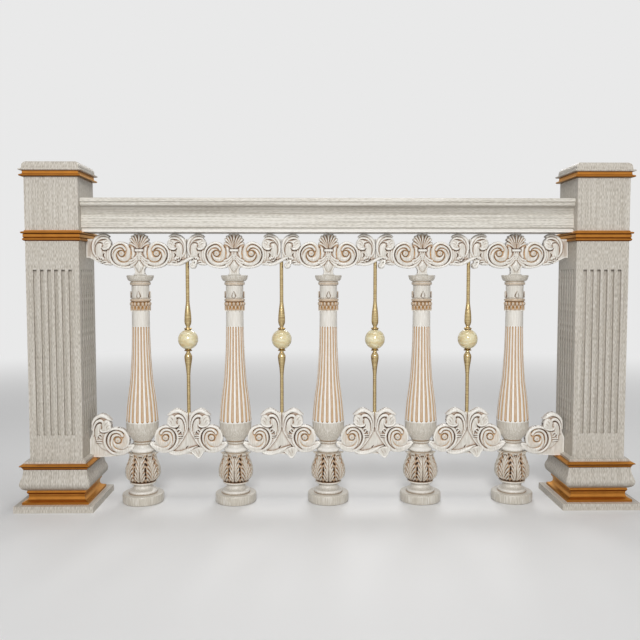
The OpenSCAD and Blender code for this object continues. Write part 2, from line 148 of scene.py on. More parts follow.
def curve(points, steps=6):
    """Smooth line through every point: between two of them, a cubic that takes its slope from their
    neighbours."""
    p = np.asarray(points, float)
    p = np.vstack([2 * p[0] - p[1], p, 2 * p[-1] - p[-2]])
    return np.vstack([cubic(p, steps), p[-2:-1]])


def ring(points, steps=6):
    """Smooth closed line through every point, made of the same cubics."""
    p = np.asarray(points, float)
    return cubic(np.vstack([p[-1], p, p[:2]]), steps)


def cubic(p, steps):
    """Points from b to c for every four neighbours a, b, c, d: the cubic whose slope at b is half of c less
    a, and at c half of d less b."""
    t = np.linspace(0, 1, steps, endpoint=False)[:, None]
    a, b, c, d = (p[k:len(p) - 3 + k][:, None] for k in range(4))
    line = b + 0.5 * ((c - a) * t + (2 * a - 5 * b + 4 * c - d) * t ** 2 + (3 * b - a - 3 * c + d) * t ** 3)
    return line.reshape(-1, p.shape[1])


def coil(middle, start, radii, hand=1, swell=0.0):
    """Line round a middle from the angle start, its radius smooth through radii, one every 45 degrees.

    hand -1 mirrors it. swell lengthens the radius by up to that share on the side of plus X, or of minus X
    where it is mirrored.
    """
    turn = curve(np.column_stack([start + 45 * np.arange(len(radii)), radii]), 8)
    angle = np.radians(turn[:, 0])
    r = turn[:, 1] * (1 + swell * np.clip(np.cos(angle), 0, 1))
    return np.column_stack([middle[0] + hand * r * np.cos(angle), middle[1] + r * np.sin(angle)])


def keyed(share, values):
    """Values given at equal shares of a line's points, read at any share."""
    values = np.atleast_1d(np.asarray(values, float))
    return np.interp(share, np.linspace(0, 1, len(values)), values)


def steps_between(low, high, cell):
    """Values from low to high, about a cell apart."""
    return np.linspace(low, high, int(round((high - low) / cell)) + 1)


class Relief:
    """A carved panel: height over its middle plane and distance inside its outline, in mm, on a grid of X
    and Z.

    Each place also holds how much glaze and painted shade lie there, 1 being thick, and how far that glaze is
    gilt.
    """

    def __init__(self, across, up):
        grid_x, grid_z = np.meshgrid(across, up)
        self.shape = grid_x.shape
        self.x, self.z = grid_x.ravel(), grid_z.ravel()
        self.height = np.zeros_like(self.x)
        self.glaze_and_painted_light = np.zeros_like(self.x)
        self.gilt = np.zeros_like(self.x)
        self.inside = np.full_like(self.x, -9.0)

    def near(self, line, margin):
        """Numbers of the places within a margin of the box round a line."""
        low, high = line.min(axis=0) - margin, line.max(axis=0) + margin
        return np.flatnonzero((self.x > low[0]) & (self.x < high[0]) & (self.z > low[1]) & (self.z < high[1]))

    def along(self, rows, line):
        """Distance from each place to the line's nearest spot, and that spot's share of the way along its
        points."""
        start, way = line[:-1], np.diff(line, axis=0)
        length = np.maximum(np.hypot(*way.T), 1e-9)
        dx = self.x[rows, None] - start[:, 0]
        dz = self.z[rows, None] - start[:, 1]
        t = np.clip((dx * way[:, 0] + dz * way[:, 1]) / length ** 2, 0, 1)
        away = np.hypot(dx - t * way[:, 0], dz - t * way[:, 1])
        best = np.argmin(away, axis=1)
        pick = np.arange(len(rows))
        return away[pick, best], (best + t[pick, best]) / len(way)

    def raise_to(self, rows, height, inside):
        """Lifts places that are lower, and notes those that are now further inside the outline."""
        self.height[rows] = np.maximum(self.height[rows], height)
        self.inside[rows] = np.maximum(self.inside[rows], inside)

    def strand(self, line, half, crest, foot=9.0, power=0.45):
        """Rounded band: over half its width it falls from crest to foot as (1 - q squared) to a power.

        Half, crest and foot may each be a row of values along the line. The band wipes off the glaze and
        painted shade it covers.
        """
        rows = self.near(line, np.max(half) + 2)
        away, share = self.along(rows, line)
        width = keyed(share, half)
        q = np.clip(away / width, 0, 1)
        low = keyed(share, foot)
        height = low + (keyed(share, crest) - low) * (1 - q ** 2) ** power
        covered = (away < 0.8 * width) & (height > self.height[rows])
        self.glaze_and_painted_light[rows[covered]] = 0
        self.raise_to(rows, np.where(away < width, height, 0), width - away)

    def body(self, outline, level, soft=3.0, rise=0.6):
        """Plain field at a level within a closed outline, rounded towards its edge over the distance soft.

        From its edge, where it is rise times the level, it climbs as a quarter ellipse.
        """
        line = np.vstack([outline, outline[:1]])
        rows = self.near(line, 4)
        away, _ = self.along(rows, line)
        x, z = self.x[rows, None], self.z[rows, None]
        (x0, z0), (x1, z1) = line[:-1].T, line[1:].T
        fall = np.where(z1 == z0, 1, z1 - z0)
        crossed = ((z0 > z) != (z1 > z)) & (x < (x1 - x0) * (z - z0) / fall + x0)
        depth = np.where(crossed.sum(axis=1) % 2 == 1, away, -away)
        q = np.clip(depth / soft, 0, 1)
        height = level * (rise + (1 - rise) * (1 - (1 - q) ** 2) ** 0.5)
        self.raise_to(rows, np.where(depth > 0, height, 0), depth)

    def dome(self, middle, r, crest, foot, power=0.5):
        """Round boss that falls from crest at its middle to foot at its edge as (1 - q squared) to a
        power."""
        away = np.hypot(self.x - middle[0], self.z - middle[1])
        q = np.clip(away / r, 0, 1)
        self.raise_to(slice(None), np.where(away < r, foot + (crest - foot) * (1 - q ** 2) ** power, 0),
                      r - away)

    def groove(self, line, half, depth):
        """Cut along a line whose depth falls off as (1 - q squared) to 1.5; glaze stays in it, more where
        deep, partly as patina and partly as painted shade."""
        rows = self.near(line, np.max(half) + 1)
        away, share = self.along(rows, line)
        fall = 1 - np.clip(away / keyed(share, half), 0, 1) ** 2
        cut = keyed(share, depth)
        self.height[rows] -= cut * fall ** 1.5
        # patina and painted shade along the cut, darker where deeper
        self.stain_and_shade(rows, np.clip(0.14 + cut / 12, 0, 1) * fall)

    def drill(self, middle, r, depth):
        """Round hole, drilled part of the way in and painted dark inside as shade: its depth falls off as 1 -
        q squared.
        """
        fall = 1 - np.clip(np.hypot(self.x - middle[0], self.z - middle[1]) / r, 0, 1) ** 2
        self.height -= depth * fall
        # painted shade: the hole is glazed past full, to the darkest tone
        self.stain_and_shade(slice(None), 1.2 * fall)

    def stain_and_shade(self, rows, glaze_and_painted_light):
        """Glaze and painted shade on the places that have less."""
        self.glaze_and_painted_light[rows] = np.maximum(self.glaze_and_painted_light[rows], glaze_and_painted_light)


# Bands of a scroll as (first angle, radii every 45 degrees, half widths, crests, foot): the rim that runs
# round and ends as a crescent under the eye, the broad band inside it, and the finger that hooks in over
# the eye
FRIEZE_BANDS = (
    (-135, (50.5, 42.2, 41, 38, 34.3, 32.8, 25.5, 20, 20.5, 17.3, 14, 13),
     (4.5, 3.6, 3.9, 3.9, 4, 4, 6, 7.4, 8.8, 7.5, 3.8, 1.2),
     (12, 13, 13.5, 13.5, 13.5, 13.5, 13.5, 13.5, 14, 15, 15, 13), 9.5),
    (-135, (36.7, 32.8, 28, 20.8, 16.2, 12), (5.4, 6.4, 7, 5.2, 4, 2), (13, 15, 16, 16, 15, 12), 9.5),
    (-45, (32, 29.2, 24.8, 21.6, 15.5), (1.5, 2.4, 3.8, 4.4, 3.8), (11, 15, 16.5, 17, 18), 9.5),
)
CARTOUCHE_BANDS = (
    (-135, (47, 45.2, 40, 38, 37.5, 35, 32.2, 24.5, 24, 19, 15, 11.5),
     (3.6, 3.9, 3.9, 4, 4, 3.6, 5.2, 11.8, 12.4, 9, 5, 1.2),
     (12, 13, 13.5, 13.5, 13.5, 13.5, 13.5, 13.5, 14, 15, 15, 13), 9.5),
    (-135, (41, 34.6, 24, 17, 17.2, 15.5, 12.8), (5.5, 6, 4.2, 4.6, 5, 3.8, 1.4),
     (13, 14.5, 15, 15, 15, 15, 12), 9.5),
    (-45, (30, 26.6, 27.2, 25.6, 20), (2, 4, 3.6, 4, 4.6), (12, 16, 16.5, 17, 18), 9.5),
)


def volute(relief, middle, hand, bands, deep, eye_r, swell=0.0):
    """A scroll that winds about one and a half times round a boss, under a thin gilt wash, thickest on the
    boss.

    deep holds the radii of the cut inside its rim, one every 45 degrees.
    """
    relief.body(coil(middle, -135, (44, 40, 38, 36, 34, 32, 27, 26), hand, swell), 10.2, soft=2)
    for start, radii, half, crest, foot in bands:
        relief.strand(coil(middle, start, radii, hand, swell), half, crest, foot)
    relief.groove(coil(middle, -80, deep, hand, swell), (0.8, 1.9, 2.4, 1.9, 0.8), (0.8, 2.3, 3, 2.3, 0.8))
    relief.dome(middle, eye_r + 3, 11.5, 11)
    relief.groove(coil(middle, 0, [eye_r + 0.6] * 9, hand), 1.4, 2.6)
    relief.dome(middle, eye_r, 18.8, 13.5)
    away = np.hypot(relief.x - middle[0], relief.z - middle[1])
    washed = away < 30
    relief.gilt[washed] = 1
    relief.stain_and_shade(washed, 0.15)
    relief.stain_and_shade(away < eye_r, 0.56)


def leaf_scroll(relief, place):
    """A round leaf scroll; place turns its points, taken from the joint and the baluster's top, into the
    panel's."""
    relief.body(place(ring([
        (12, 56), (5, 66), (1.4, 80), (0.8, 92), (3.4, 106), (10, 117), (20, 124.5), (31, 128.5),
        (42, 128.5), (50, 125), (56, 119), (51, 117), (54, 112), (59.4, 104), (61, 96), (58.6, 88), (53, 82),
        (46, 79.5), (38, 79), (32, 80), (34, 66), (26, 56)
    ], 3)), 11.5, soft=4, rise=0.75)
    # inner field, then the full lobe beside it
    relief.body(place(ring([
        (15, 60), (13.5, 72), (14.5, 85), (20, 96), (28, 99), (34, 94), (32, 82), (30, 66), (24, 58)
    ], 4)), 13.4, soft=8, rise=0.82)
    relief.body(place(ring([
        (29, 101), (35, 108), (45, 110.5), (53.5, 106.5), (58.8, 98), (57, 89), (51, 82.6), (43, 80),
        (35, 80.5), (34, 87), (36, 93)
    ], 4)), 16.4, soft=9, rise=0.7)
    # the rim, the ridge that hooks in over the field, and the roll that ends as the bright curl
    relief.strand(place(curve([(12.6, 60), (6.6, 71), (4.4, 85), (5.8, 99), (12, 111), (22, 119.5),
                               (34, 123.5), (45, 123), (54, 119.4)])),
                  (2, 3.3, 3.4, 3.8, 4.6, 5, 5, 4, 1), (13, 14.6, 15.4, 15.6, 15.6, 15.4, 15, 14, 12), 11)
    relief.strand(place(curve([(12.6, 96), (17.6, 105.4), (26, 112), (36, 115.2), (46, 114.4),
                               (53.5, 109)])),
                  (1.4, 3, 3.8, 4, 3.8, 2.4), (12.5, 14.6, 15.8, 16.2, 15.6, 13), 11.5)
    relief.strand(place(curve([(57, 93), (52, 85.6), (45, 82.2), (38, 81.6), (32.5, 84.6)])),
                  (2.4, 4, 4.8, 4.6, 2.2), (15, 17.4, 19, 19, 16.6), 11)
    relief.strand(place(curve([(27, 103.4), (33, 104), (38, 101), (38.2, 96.6), (35, 94.6)])),
                  (1.4, 2.8, 3, 2.6, 1.2), (14, 16.4, 17.4, 17.4, 15.5), 12)
    # veins, the line that ends in a hook, and the shadow under the curl
    relief.groove(place(curve([(21, 115.6), (32, 119.4), (45, 118.4), (54, 113)])), (0.9, 1.3, 1.3, 0.8),
                  1.9)
    relief.groove(place(curve([(17.6, 101), (24.5, 107.8), (33, 110.6), (44, 111.2), (52, 107.5)])),
                  (0.9, 1.4, 1.5, 1.4, 0.8), (1.4, 2.2, 2.4, 2, 1.2))
    relief.groove(place(curve([(54.5, 104), (49, 105), (43, 102.5), (41, 97)])), (0.7, 1.2, 1.3, 0.8),
                  (1, 2, 2.2, 1.4))
    relief.groove(place(curve([(57.6, 97), (51.5, 98.5), (46.5, 96), (44.5, 91)])), (0.7, 1.2, 1.3, 0.8),
                  (1, 2, 2.2, 1.2))
    relief.groove(place(curve([(12.8, 62), (11, 75), (11.8, 88), (16, 97.5), (24.5, 101.4), (32, 99.6),
                               (34.4, 97)])),
                  (1.2, 1.6, 1.7, 1.8, 1.9, 2, 1.6), (1.6, 2.2, 2.6, 2.8, 3.2, 3.8, 3.4))
    relief.groove(place(curve([(30, 82.5), (36, 77.4), (43.5, 76.4), (52, 80.6)])), (1.4, 2.4, 2.4, 1.5),
                  (2, 3.4, 3.2, 1.6))


def leaf_spray(relief, place):
    """Short leaves with drilled eyes between them, and a deep cut beside them; place is the leaf scroll's."""
    for line, half in (
        ([(23, 63), (26, 55), (32, 49)], (1.5, 3, 2.5)),
        ([(17, 57), (21, 50), (26, 45)], (1.5, 2.8, 2.2)),
        ([(33, 61), (36, 54), (35, 47)], (1.2, 2.8, 2)),
        ([(29, 62), (31, 55), (33, 52)], (1.2, 2.6, 2)),
    ):
        relief.strand(place(curve(line)), half, (10.5, 13.5, 13.5), 9)
    for x, z, r in ((16, 49, 2.3), (22.8, 50.3, 2.3), (29.6, 50, 2.3), (34, 46.5, 2), (28.5, 42, 2)):
        relief.drill(place(np.array([(x, z)]))[0], r, 6)
    relief.groove(place(curve([(38.4, 68.6), (35.6, 63.4), (36.6, 57.6), (40.6, 54.4)])), (1.2, 2.8, 2.4, 1),
                  (2.4, 5, 4, 1.6))


def palmette(relief):
    """Nine slim lobes that fan out from the tie, under a partly gilt glaze that is thickest between them,
    where it is partly painted shade.
    """
    lobes = (
        ([(0, 90), (0, 108), (0, 124.5)], (1, 3, 4.6)),
        ([(1.6, 84), (4.6, 100), (8.6, 114), (12.6, 124)], (1.4, 2.4, 3.2, 4)),
        ([(3.4, 84), (8.6, 98), (15, 110), (20.6, 119)], (1.4, 2.6, 3.6, 4.4)),
        ([(4.8, 84), (11, 94.6), (18.6, 104), (25.4, 110.6)], (1.4, 2.6, 3.6, 4.4)),
        ([(5.8, 83.5), (12.6, 90.4), (20, 95.6), (27, 98.8)], (2, 3, 4, 4.8)),
    )
    relief.body(ring([(-8, 82), (-20, 92), (-26, 104), (-24, 118), (-12, 126), (0, 128), (12, 126),
                      (24, 118), (26, 104), (20, 92), (8, 82), (0, 80)], 4), 9, soft=2)
    for line, half in lobes:
        for hand in ((1,) if line[0][0] == 0 else (1, -1)):
            relief.strand(curve(np.array(line) * (hand, 1)), half, (12.6, 14, 14.5, 14), 8.6, 0.6)
    fan = (np.abs(relief.x) < 31) & (relief.z > 85)
    relief.gilt[fan] = 0.35
    # glaze thickest low between the lobes, partly patina and partly painted shade
    low = np.clip((13.4 - relief.height) / 4, 0, 1) * np.clip((122 - relief.z) / 12, 0, 1)
    relief.glaze_and_painted_light[fan] = np.maximum(relief.glaze_and_painted_light, 0.34 + 0.66 * low)[fan]


def frieze_half(relief, hand, at_newel):
    """From the baluster's axis to the joint: a volute, its root lobes, and the leaf scroll on its web.

    At a newel the web runs on to the post. Elsewhere it stops just short of the joint with the next frieze.
    """
    joint = END_GAP if at_newel else HALF_PITCH - 0.75

    def place(line):
        return np.asarray(line) * (-hand, 1) + (hand * HALF_PITCH, 0)

    def side(points):
        return np.array(points) * (hand, 1)

    relief.body(ring(side([(84, 66), (88, 84), (100, 90), (116, 92), (134, 88), (136, 66), (130, 52),
                           (122, 42), (110, 33), (98, 30.5), (86, 32), (82, 46)]), 3), 9.5, soft=2.5)
    if at_newel:
        end = [(118, 112), (joint, 112), (joint, 54), (152, 53), (140, 47), (128, 40), (118, 35), (108, 60)]
    else:
        end = [(126, 112), (joint, 112), (joint, 47), (136, 45), (124, 42)]
    relief.body(side(end), 8, soft=1.6, rise=0.8)
    root = [(31, 97), (18, 92), (8, 84), (8, 62), (14, 48), (24, 40), (36, 44), (36, 80)]
    relief.body(ring(side(root), 3), 9.5, soft=3)
    volute(relief, (hand * 53.5, 67.5), hand, FRIEZE_BANDS, (38, 35.6, 32.6, 29.4, 27.4), 8.6)
    relief.strand(curve(side([(94, 82), (97.5, 70), (97.5, 56), (93, 42)])), (2, 3, 3, 2),
                  (11, 12.5, 12.5, 11), 9)
    for line, half in (
        ([(5, 50), (9, 42), (15, 36), (24, 30.5)], (2.2, 3.2, 4.2, 4.8)),
        ([(6, 55), (11, 48), (19, 41), (28, 37.5)], (2.2, 3.2, 3.8, 3.4)),
        ([(7, 61), (13, 54), (21, 48), (30, 45.5)], (2.4, 3.6, 4, 3.2)),
    ):
        relief.strand(curve(side(line)), half, (13, 13, 14, 15), 8.5)
    relief.strand(curve(side([(29, 93), (22, 87), (18.5, 78), (18, 67), (21, 56)])), (3, 4.8, 5.6, 5.4, 3.6),
                  (11, 13, 13.5, 13, 12), 9)
    leaf_scroll(relief, place)
    leaf_spray(relief, place)
    if not at_newel:
        relief.groove(place(np.array([(0.4, 50.0), (0.4, 112)])), (1.5, 2), (4, 5))
    relief.strand(curve(side([(92, 35), (99, 37), (106, 35.5)])), (2.6, 4, 3), (13, 15, 15), 9)
    relief.strand(curve(side([(99, 43), (107, 42.5), (114, 39)])), (2, 2.6, 1.8), (12, 13.5, 12), 9)
    relief.groove(curve(side([(105, 39.5), (111, 38.5), (117, 36.5)])), (1, 1.8, 1.2), (2, 5, 3))


def sweeping_leaf(relief, joint):
    """The leaf that rises from the left, crosses the joint and ends in a point."""
    line = np.array([(-52, 33.5), (-38, 33.5), (-24, 35.5), (-11, 41.5), (1, 47.6), (12, 52.4), (23, 56)])
    relief.strand(curve(line + (joint, 0)), (2, 4.6, 5.6, 6, 5.6, 4.4, 1.2),
                  (12, 14, 14.6, 15.4, 16.4, 17, 16), 10)
    ridge = np.array([(-34, 36), (-20, 41), (-8, 48), (3, 53)])
    relief.groove(curve(ridge + (joint, 0)), (0.9, 1.3, 1.5, 0.9), (1.6, 3, 3.4, 1.6))


def curled_drop(relief, x):
    """A round drop with a curl over it."""
    relief.dome((x, 30), 10, 15.5, 9)
    relief.strand(curve([(x + 10, 46), (x + 9, 37), (x + 4, 27.5), (x - 3, 25.5), (x - 6, 31), (x - 2, 36)]),
                  (3.4, 3.4, 3.2, 3, 3, 2.4), (13, 15, 16.5, 17.5, 18, 17), 12)
    relief.strand(curve([(x - 1, 41), (x + 4, 44), (x + 12, 45)]), (3, 4, 3), (11, 13, 12), 9)


def frieze(relief, first, last):
    """One bay of the frieze, from the baluster's axis and top: two volutes, the palmette and the stem.

    The first and the last end at a newel; a leaf and a drop cross the joints between the others.
    """
    relief.body(curve([(-23, 0), (-19, 1.5), (-15.6, 5), (-14.8, 12), (-16, 19), (-20, 25), (-26, 30),
                       (-12, 52), (-10, 80), (10, 80), (12, 52), (26, 30), (20, 25), (16, 19), (14.8, 12),
                       (15.6, 5), (19, 1.5), (23, 0)], 3), 11, soft=3)
    frieze_half(relief, -1, first)
    frieze_half(relief, 1, last)
    palmette(relief)
    for x in (-4.4, 0, 4.4):
        relief.strand(curve([(x * 1.4, 75), (x * 0.8, 60), (x * 0.3, 47)]), (2.9, 2.5, 1.6),
                      (13.5, 14.5, 13.5), 9)
    relief.body(ring([(0, 46), (-7, 38.5), (-12.5, 29.5), (-9.6, 21), (0, 10), (9.6, 21), (12.5, 29.5),
                      (7, 38.5)], 4),
                16.6, soft=10, rise=0.66)
    relief.strand(np.array([(-9.5, 77.0), (9.5, 77.0)]), 4.4, 19, 11)
    for x in (-15.5, 15.5):
        relief.groove(np.array([(x, 83.0), (x, 71.0)]), 1.4, 2)
    if not last:
        sweeping_leaf(relief, HALF_PITCH)
    if not first:
        curled_drop(relief, 18.75 - HALF_PITCH)


def crown_leaf(relief, place, shoulder):
    """The leaf over a cartouche's volute; place turns distance from the gap's middle and height into the
    panel's.

    shoulder holds the points of its inner edge, beside the rod or the newel.
    """
    def line(points):
        return curve(place(points))

    relief.body(ring(place([
        (18, 220), (10, 232), (6, 246), *shoulder, (19, 290), (30, 296),
        (38, 297.5), (46, 295), (52, 291.5), (59, 286), (64, 280.5), (69, 275), (61.6, 274.6), (65, 268),
        (67.2, 259), (65.5, 251), (60, 244), (51, 239), (42, 237), (33, 238), (36, 228), (30, 222)
    ]), 3), 11.5, soft=4, rise=0.75)
    # field of the stem, and the full lobe beside it
    relief.body(ring(place([
        (17, 222), (13.6, 240), (16, 254), (22, 263), (30, 264.5), (35, 258), (35, 249), (31, 241),
        (29, 232), (24, 223)
    ]), 4), 13.6, soft=8, rise=0.8)
    relief.body(ring(place([
        (35, 264), (42, 274), (52, 278.5), (60, 275), (65.5, 266), (66.5, 256), (62, 247), (53, 241),
        (43, 239), (34, 241), (33, 247), (37, 252), (37, 258)
    ]), 4), 16.5, soft=10, rise=0.66)
    # the top leaf with its teeth, the ridge that hooks in over the field, and the bright curl
    relief.strand(line([(6, 244), (6.6, 260), (10.5, 274), (20, 284), (32, 289.6), (44, 288), (56, 281.6),
                        (67.6, 275.4)]),
                  (1.6, 2.4, 4, 5.2, 5.8, 5.6, 4, 0.8), (12.5, 13.5, 14.4, 15, 15.4, 15.4, 15, 13), 11)
    for tooth in ([(38, 288), (46.6, 292.6)], [(46, 285.6), (54.6, 287.4)]):
        relief.strand(place(tooth), (3.6, 2), (15.4, 14.4), 11)
    relief.strand(line([(9, 228), (9.6, 244), (12, 257), (17.4, 267.4), (25.5, 274), (34.5, 275),
                        (40.4, 271.4), (40.6, 266)]),
                  (1.4, 2.4, 3, 3.8, 4.6, 4.6, 3.8, 2.2), (13, 14.4, 15.4, 16.4, 17, 17.6, 18, 17), 11.5)
    relief.strand(line([(65, 252), (58, 244.6), (49, 241.4), (40, 241), (33.4, 244), (32, 249)]),
                  (2.4, 3.6, 4.2, 4, 3.2, 1.6), (15.6, 17, 18, 18, 17.6, 16), 11.5)
    # the lines on both sides of the ridge, the shadow under the curl, and the veins
    relief.groove(line([(5.4, 238), (8.4, 258), (14.6, 271), (23, 279.4), (32, 283.2), (42, 283.6),
                        (51.5, 280)]),
                  (0.8, 1.2, 1.4, 1.4, 1.3, 1.2, 0.8), (1.5, 2.6, 3, 3, 2.6, 2.2, 1.2))
    relief.groove(line([(12.4, 227), (13.2, 244), (17.2, 258), (23.8, 265.8), (31, 267.6), (36.4, 264.6)]),
                  (1, 1.5, 1.8, 2, 2.1, 1.8), (1.4, 2.4, 3, 3.4, 3.8, 3.4))
    relief.groove(line([(60, 240.4), (51, 236.8), (42, 235.8), (33.8, 238), (29.4, 243.4)]),
                  (1.2, 2.2, 2.4, 2.2, 1.2), (1.4, 3, 3.2, 3, 1.6))
    relief.groove(line([(50, 296.6), (47.6, 291.6)]), (1.2, 0.8), (3.4, 1))
    relief.groove(line([(60, 289), (55.6, 285)]), (1.2, 0.8), (3.4, 1))
    relief.groove(line([(61.4, 271), (55, 269.6), (49, 264), (46.4, 257)]), (0.7, 1.1, 1.2, 0.8),
                  (0.8, 2, 2.4, 1))
    relief.groove(line([(65.4, 260), (58.6, 260), (53.4, 255), (51.6, 249)]), (0.7, 1.1, 1.2, 0.8),
                  (0.8, 2, 2.2, 1))
    # the curled bud under the leaf, with two drilled eyes, and its two pointed leaves
    for points, half, crest in (
        ([(37, 226), (33.6, 232), (27.4, 231.6), (22, 226), (19.8, 218), (21.6, 211)],
         (1.6, 2.4, 2.6, 2.4, 2.2, 1.2), 15),
        ([(36, 219.6), (30.4, 221.4), (26.8, 226)], (2.4, 2.2, 1.6), 14.4),
        ([(36, 213), (27, 212.6), (17.4, 212)], (2.2, 2.4, 0.8), 14.6),
        ([(35, 205.6), (26, 206.6), (16.4, 206.8)], (2.4, 2.6, 0.8), 15.4),
    ):
        relief.strand(line(points), half, crest, 9)
    for points, half, depth in (
        ([(34, 225.8), (31.4, 228), (28.6, 228.8)], (1.4, 2, 1.6), (3, 5, 3)),
        ([(28.2, 218.4), (25.4, 221), (23.8, 224.4)], (1.4, 2, 1.6), (3, 5, 3)),
        ([(30, 209.2), (24, 209.4), (18.6, 209.6)], (1.1, 1.4, 1), (2.4, 3.4, 2)),
        ([(31, 202.4), (24.6, 203), (18, 203.6)], (1, 1.3, 0.9), (2, 3, 1.4)),
    ):
        relief.groove(line(points), half, depth)


def cartouche_wing(relief, middle, hand, eye, swell=0.0):
    """One volute with the tail that runs out to the baluster's waist; hand is 1 where the tail points left.

    middle is the X of the gap's middle, and eye is the height of the volute's eye.
    """
    def side(points):
        return np.array(points, float) * (hand, 1) + (middle, eye - EYE_Z)

    relief.body(ring(side([(-124, 188.5), (-117, 192.5), (-106, 191), (-90, 190), (-60, 170), (-58, 158),
                           (-72, 155.6), (-88, 157.6), (-103, 164.4), (-115.5, 175.4)]), 3), 11, soft=5,
                rise=0.7)
    relief.strand(curve(side([(-122.5, 188), (-113.5, 181), (-102, 172.6), (-89, 166.6), (-74, 163.4),
                              (-60, 163)])),
                  (1.5, 5.4, 7.4, 7.6, 6.6, 4), (12, 13.6, 14, 14, 13.6, 12), 9.5)
    volute(relief, (middle - hand * EYE_X, eye), hand, CARTOUCHE_BANDS, (39, 34.6, 32.6, 32, 30.4), 8.8,
           swell)


def cartouche_edge(relief, place):
    """The scroll's border on the plain web between the two wings."""
    border = [(2.7, 238), (7.4, 222), (14.6, 209), (23, 194.6), (33.6, 180.6), (47, 167.4), (61, 159)]
    relief.body(place(border + [(66, 172), (52, 192), (46, 214), (40, 232), (20, 242)]), 10, soft=1,
                rise=0.96)
    relief.strand(curve(place(border)), (1.2, 1.8, 2, 2, 2, 1.8, 1.2),
                  (10.4, 11.2, 11.4, 11.4, 11.4, 11.2, 10.4), 9.6)


def cartouche(relief):
    """Two wings back to back under two leaf scrolls, with the sweeping leaf and its drop below."""
    relief.body(np.array([(-62, 245.0), (-20, 238), (-16, 262), (-11, 279), (-6, 284), (6, 284), (11, 279),
                          (16, 262), (20, 238), (62, 245), (66, 210), (62, 158), (46, 158), (36, 150),
                          (10, 149), (-10, 152), (-25, 149), (-45, 148), (-62, 151), (-66, 200)]), 7.6,
                soft=2, rise=0.8)
    for hand in (1, -1):
        def place(points, hand=hand):
            return np.asarray(points, float) * (hand, 1)

        cartouche_edge(relief, place)
        cartouche_wing(relief, 0, -hand, EYE_Z)
        crown_leaf(relief, place, [(4.5, 260), (4.2, 272), (5, 281), (10, 284.5)])
    # the drop, then the sweeping leaf that passes over it
    relief.body(ring([(-2, 160), (6, 158.6), (12, 156), (16.4, 151.4), (20.8, 145.8), (26.4, 140.8),
                      (31.8, 138.6), (37, 141.8), (41.8, 148.4), (46.2, 156.4), (51, 163.4), (46, 172),
                      (30, 174), (12, 168)], 4), 13, soft=2, rise=0.85)
    relief.strand(curve([(9, 159), (15, 154.6), (20.4, 148.8), (26, 143.8), (31.8, 141.6), (37, 145),
                         (41, 151.8), (46, 160)]), (1.2, 2.2, 2.4, 2.6, 2.8, 2.6, 2.4, 1.4),
                  (14, 15, 15, 15.4, 16, 15.4, 15, 14), 11.5)
    for vein in ([(20, 166), (25.4, 157), (28.6, 149)], [(31, 167), (33.6, 158.6), (32.6, 150)]):
        relief.groove(curve(vein), (0.8, 1.2, 0.7), (1, 2, 0.8))
    relief.body(ring([(-66, 160), (-56, 152), (-42, 148), (-27, 148.6), (-12, 151.6), (0, 155), (14, 161),
                      (26, 171), (28, 178.6), (12, 175), (-6, 169.6), (-24, 163), (-44, 162), (-58, 168)],
                     4), 12, soft=6, rise=0.72)
    relief.strand(curve([(-62, 158), (-48, 153), (-32, 153), (-16, 157.4), (-2, 163.6), (12, 170.4),
                         (28.4, 178.6)]),
                  (2, 3.6, 4.4, 4.8, 4.8, 4.2, 0.8), (12.5, 13.5, 14, 14.4, 14.8, 15, 14), 10.5)
    relief.groove(curve([(-9.4, 169), (-7, 173.4), (-2.6, 178)]), (1, 2.2, 1), (3, 6, 2.4))
    relief.groove(curve([(10, 166.4), (17.6, 171.6), (27, 175.6)]), (1, 1.7, 1), (2.4, 4.6, 2.4))
    relief.body(np.array([(-9, 236.0), (9, 236), (9.6, 281), (-9.6, 281)]), 10.4, soft=1.2, rise=0.9)
    relief.groove(np.array([(0, 222.0), (0, 284.0)]), (1, 2.2), (3, 6))


def half_cartouche(relief):
    """One wing beside the left newel's face, which is at x = 0, with a plain web below its leaf."""
    def place(points):
        return np.asarray(points, float) * (0.97, 1) + (4.6, -15)

    relief.body(np.array([(0, 144.0), (0, 198), (3, 206), (9, 220), (14, 240), (30, 238), (60, 236),
                          (92, 232), (96, 200), (94, 149), (86, 146), (60, 144), (30, 143), (20, 143)]), 8,
                soft=1.5)
    field = [(40, 246), (14, 240), (18, 212), (26, 196), (40, 184), (60, 184), (60, 240)]
    relief.body(ring(place(field), 3), 10.5, soft=5, rise=0.76)
    cartouche_wing(relief, END_GAP - HALF_PITCH, -1, EYE_Z - 7.3, swell=0.13)
    crown_leaf(relief, place, [(3.4, 258), (5, 270), (9.6, 281)])


# Meshes


def soft_blur(field, spread):
    """Gaussian blur of a grid, done on its Fourier transform; spread is in grid steps."""
    up, across = np.meshgrid(np.fft.fftfreq(field.shape[0]), np.fft.fftfreq(field.shape[1]), indexing="ij")
    falloff = np.exp(-2 * (math.pi * spread) ** 2 * (up ** 2 + across ** 2))
    return np.real(np.fft.ifft2(np.fft.fft2(field) * falloff))


def hollowness(height, cell):
    """How far a place lies below its surroundings: blurred height less height, over a narrow and a wide
    reach. It sets the glaze in the hollows, which is partly patina and partly painted shade."""
    narrow, wide = (np.clip((soft_blur(height, reach / cell) - height) / reach, 0, 1) for reach in (2.6, 6))
    return np.clip(0.9 * narrow + 0.8 * wide, 0, 1)


def crest_highlights(height, cell):
    """How far a place stands above its surroundings, where the paint is lightened as a painted highlight:
    height less blurred height, over a reach of 3 mm."""
    return np.clip((height - soft_blur(height, 3 / cell)) / 2.6 - 0.06, 0, 0.5)


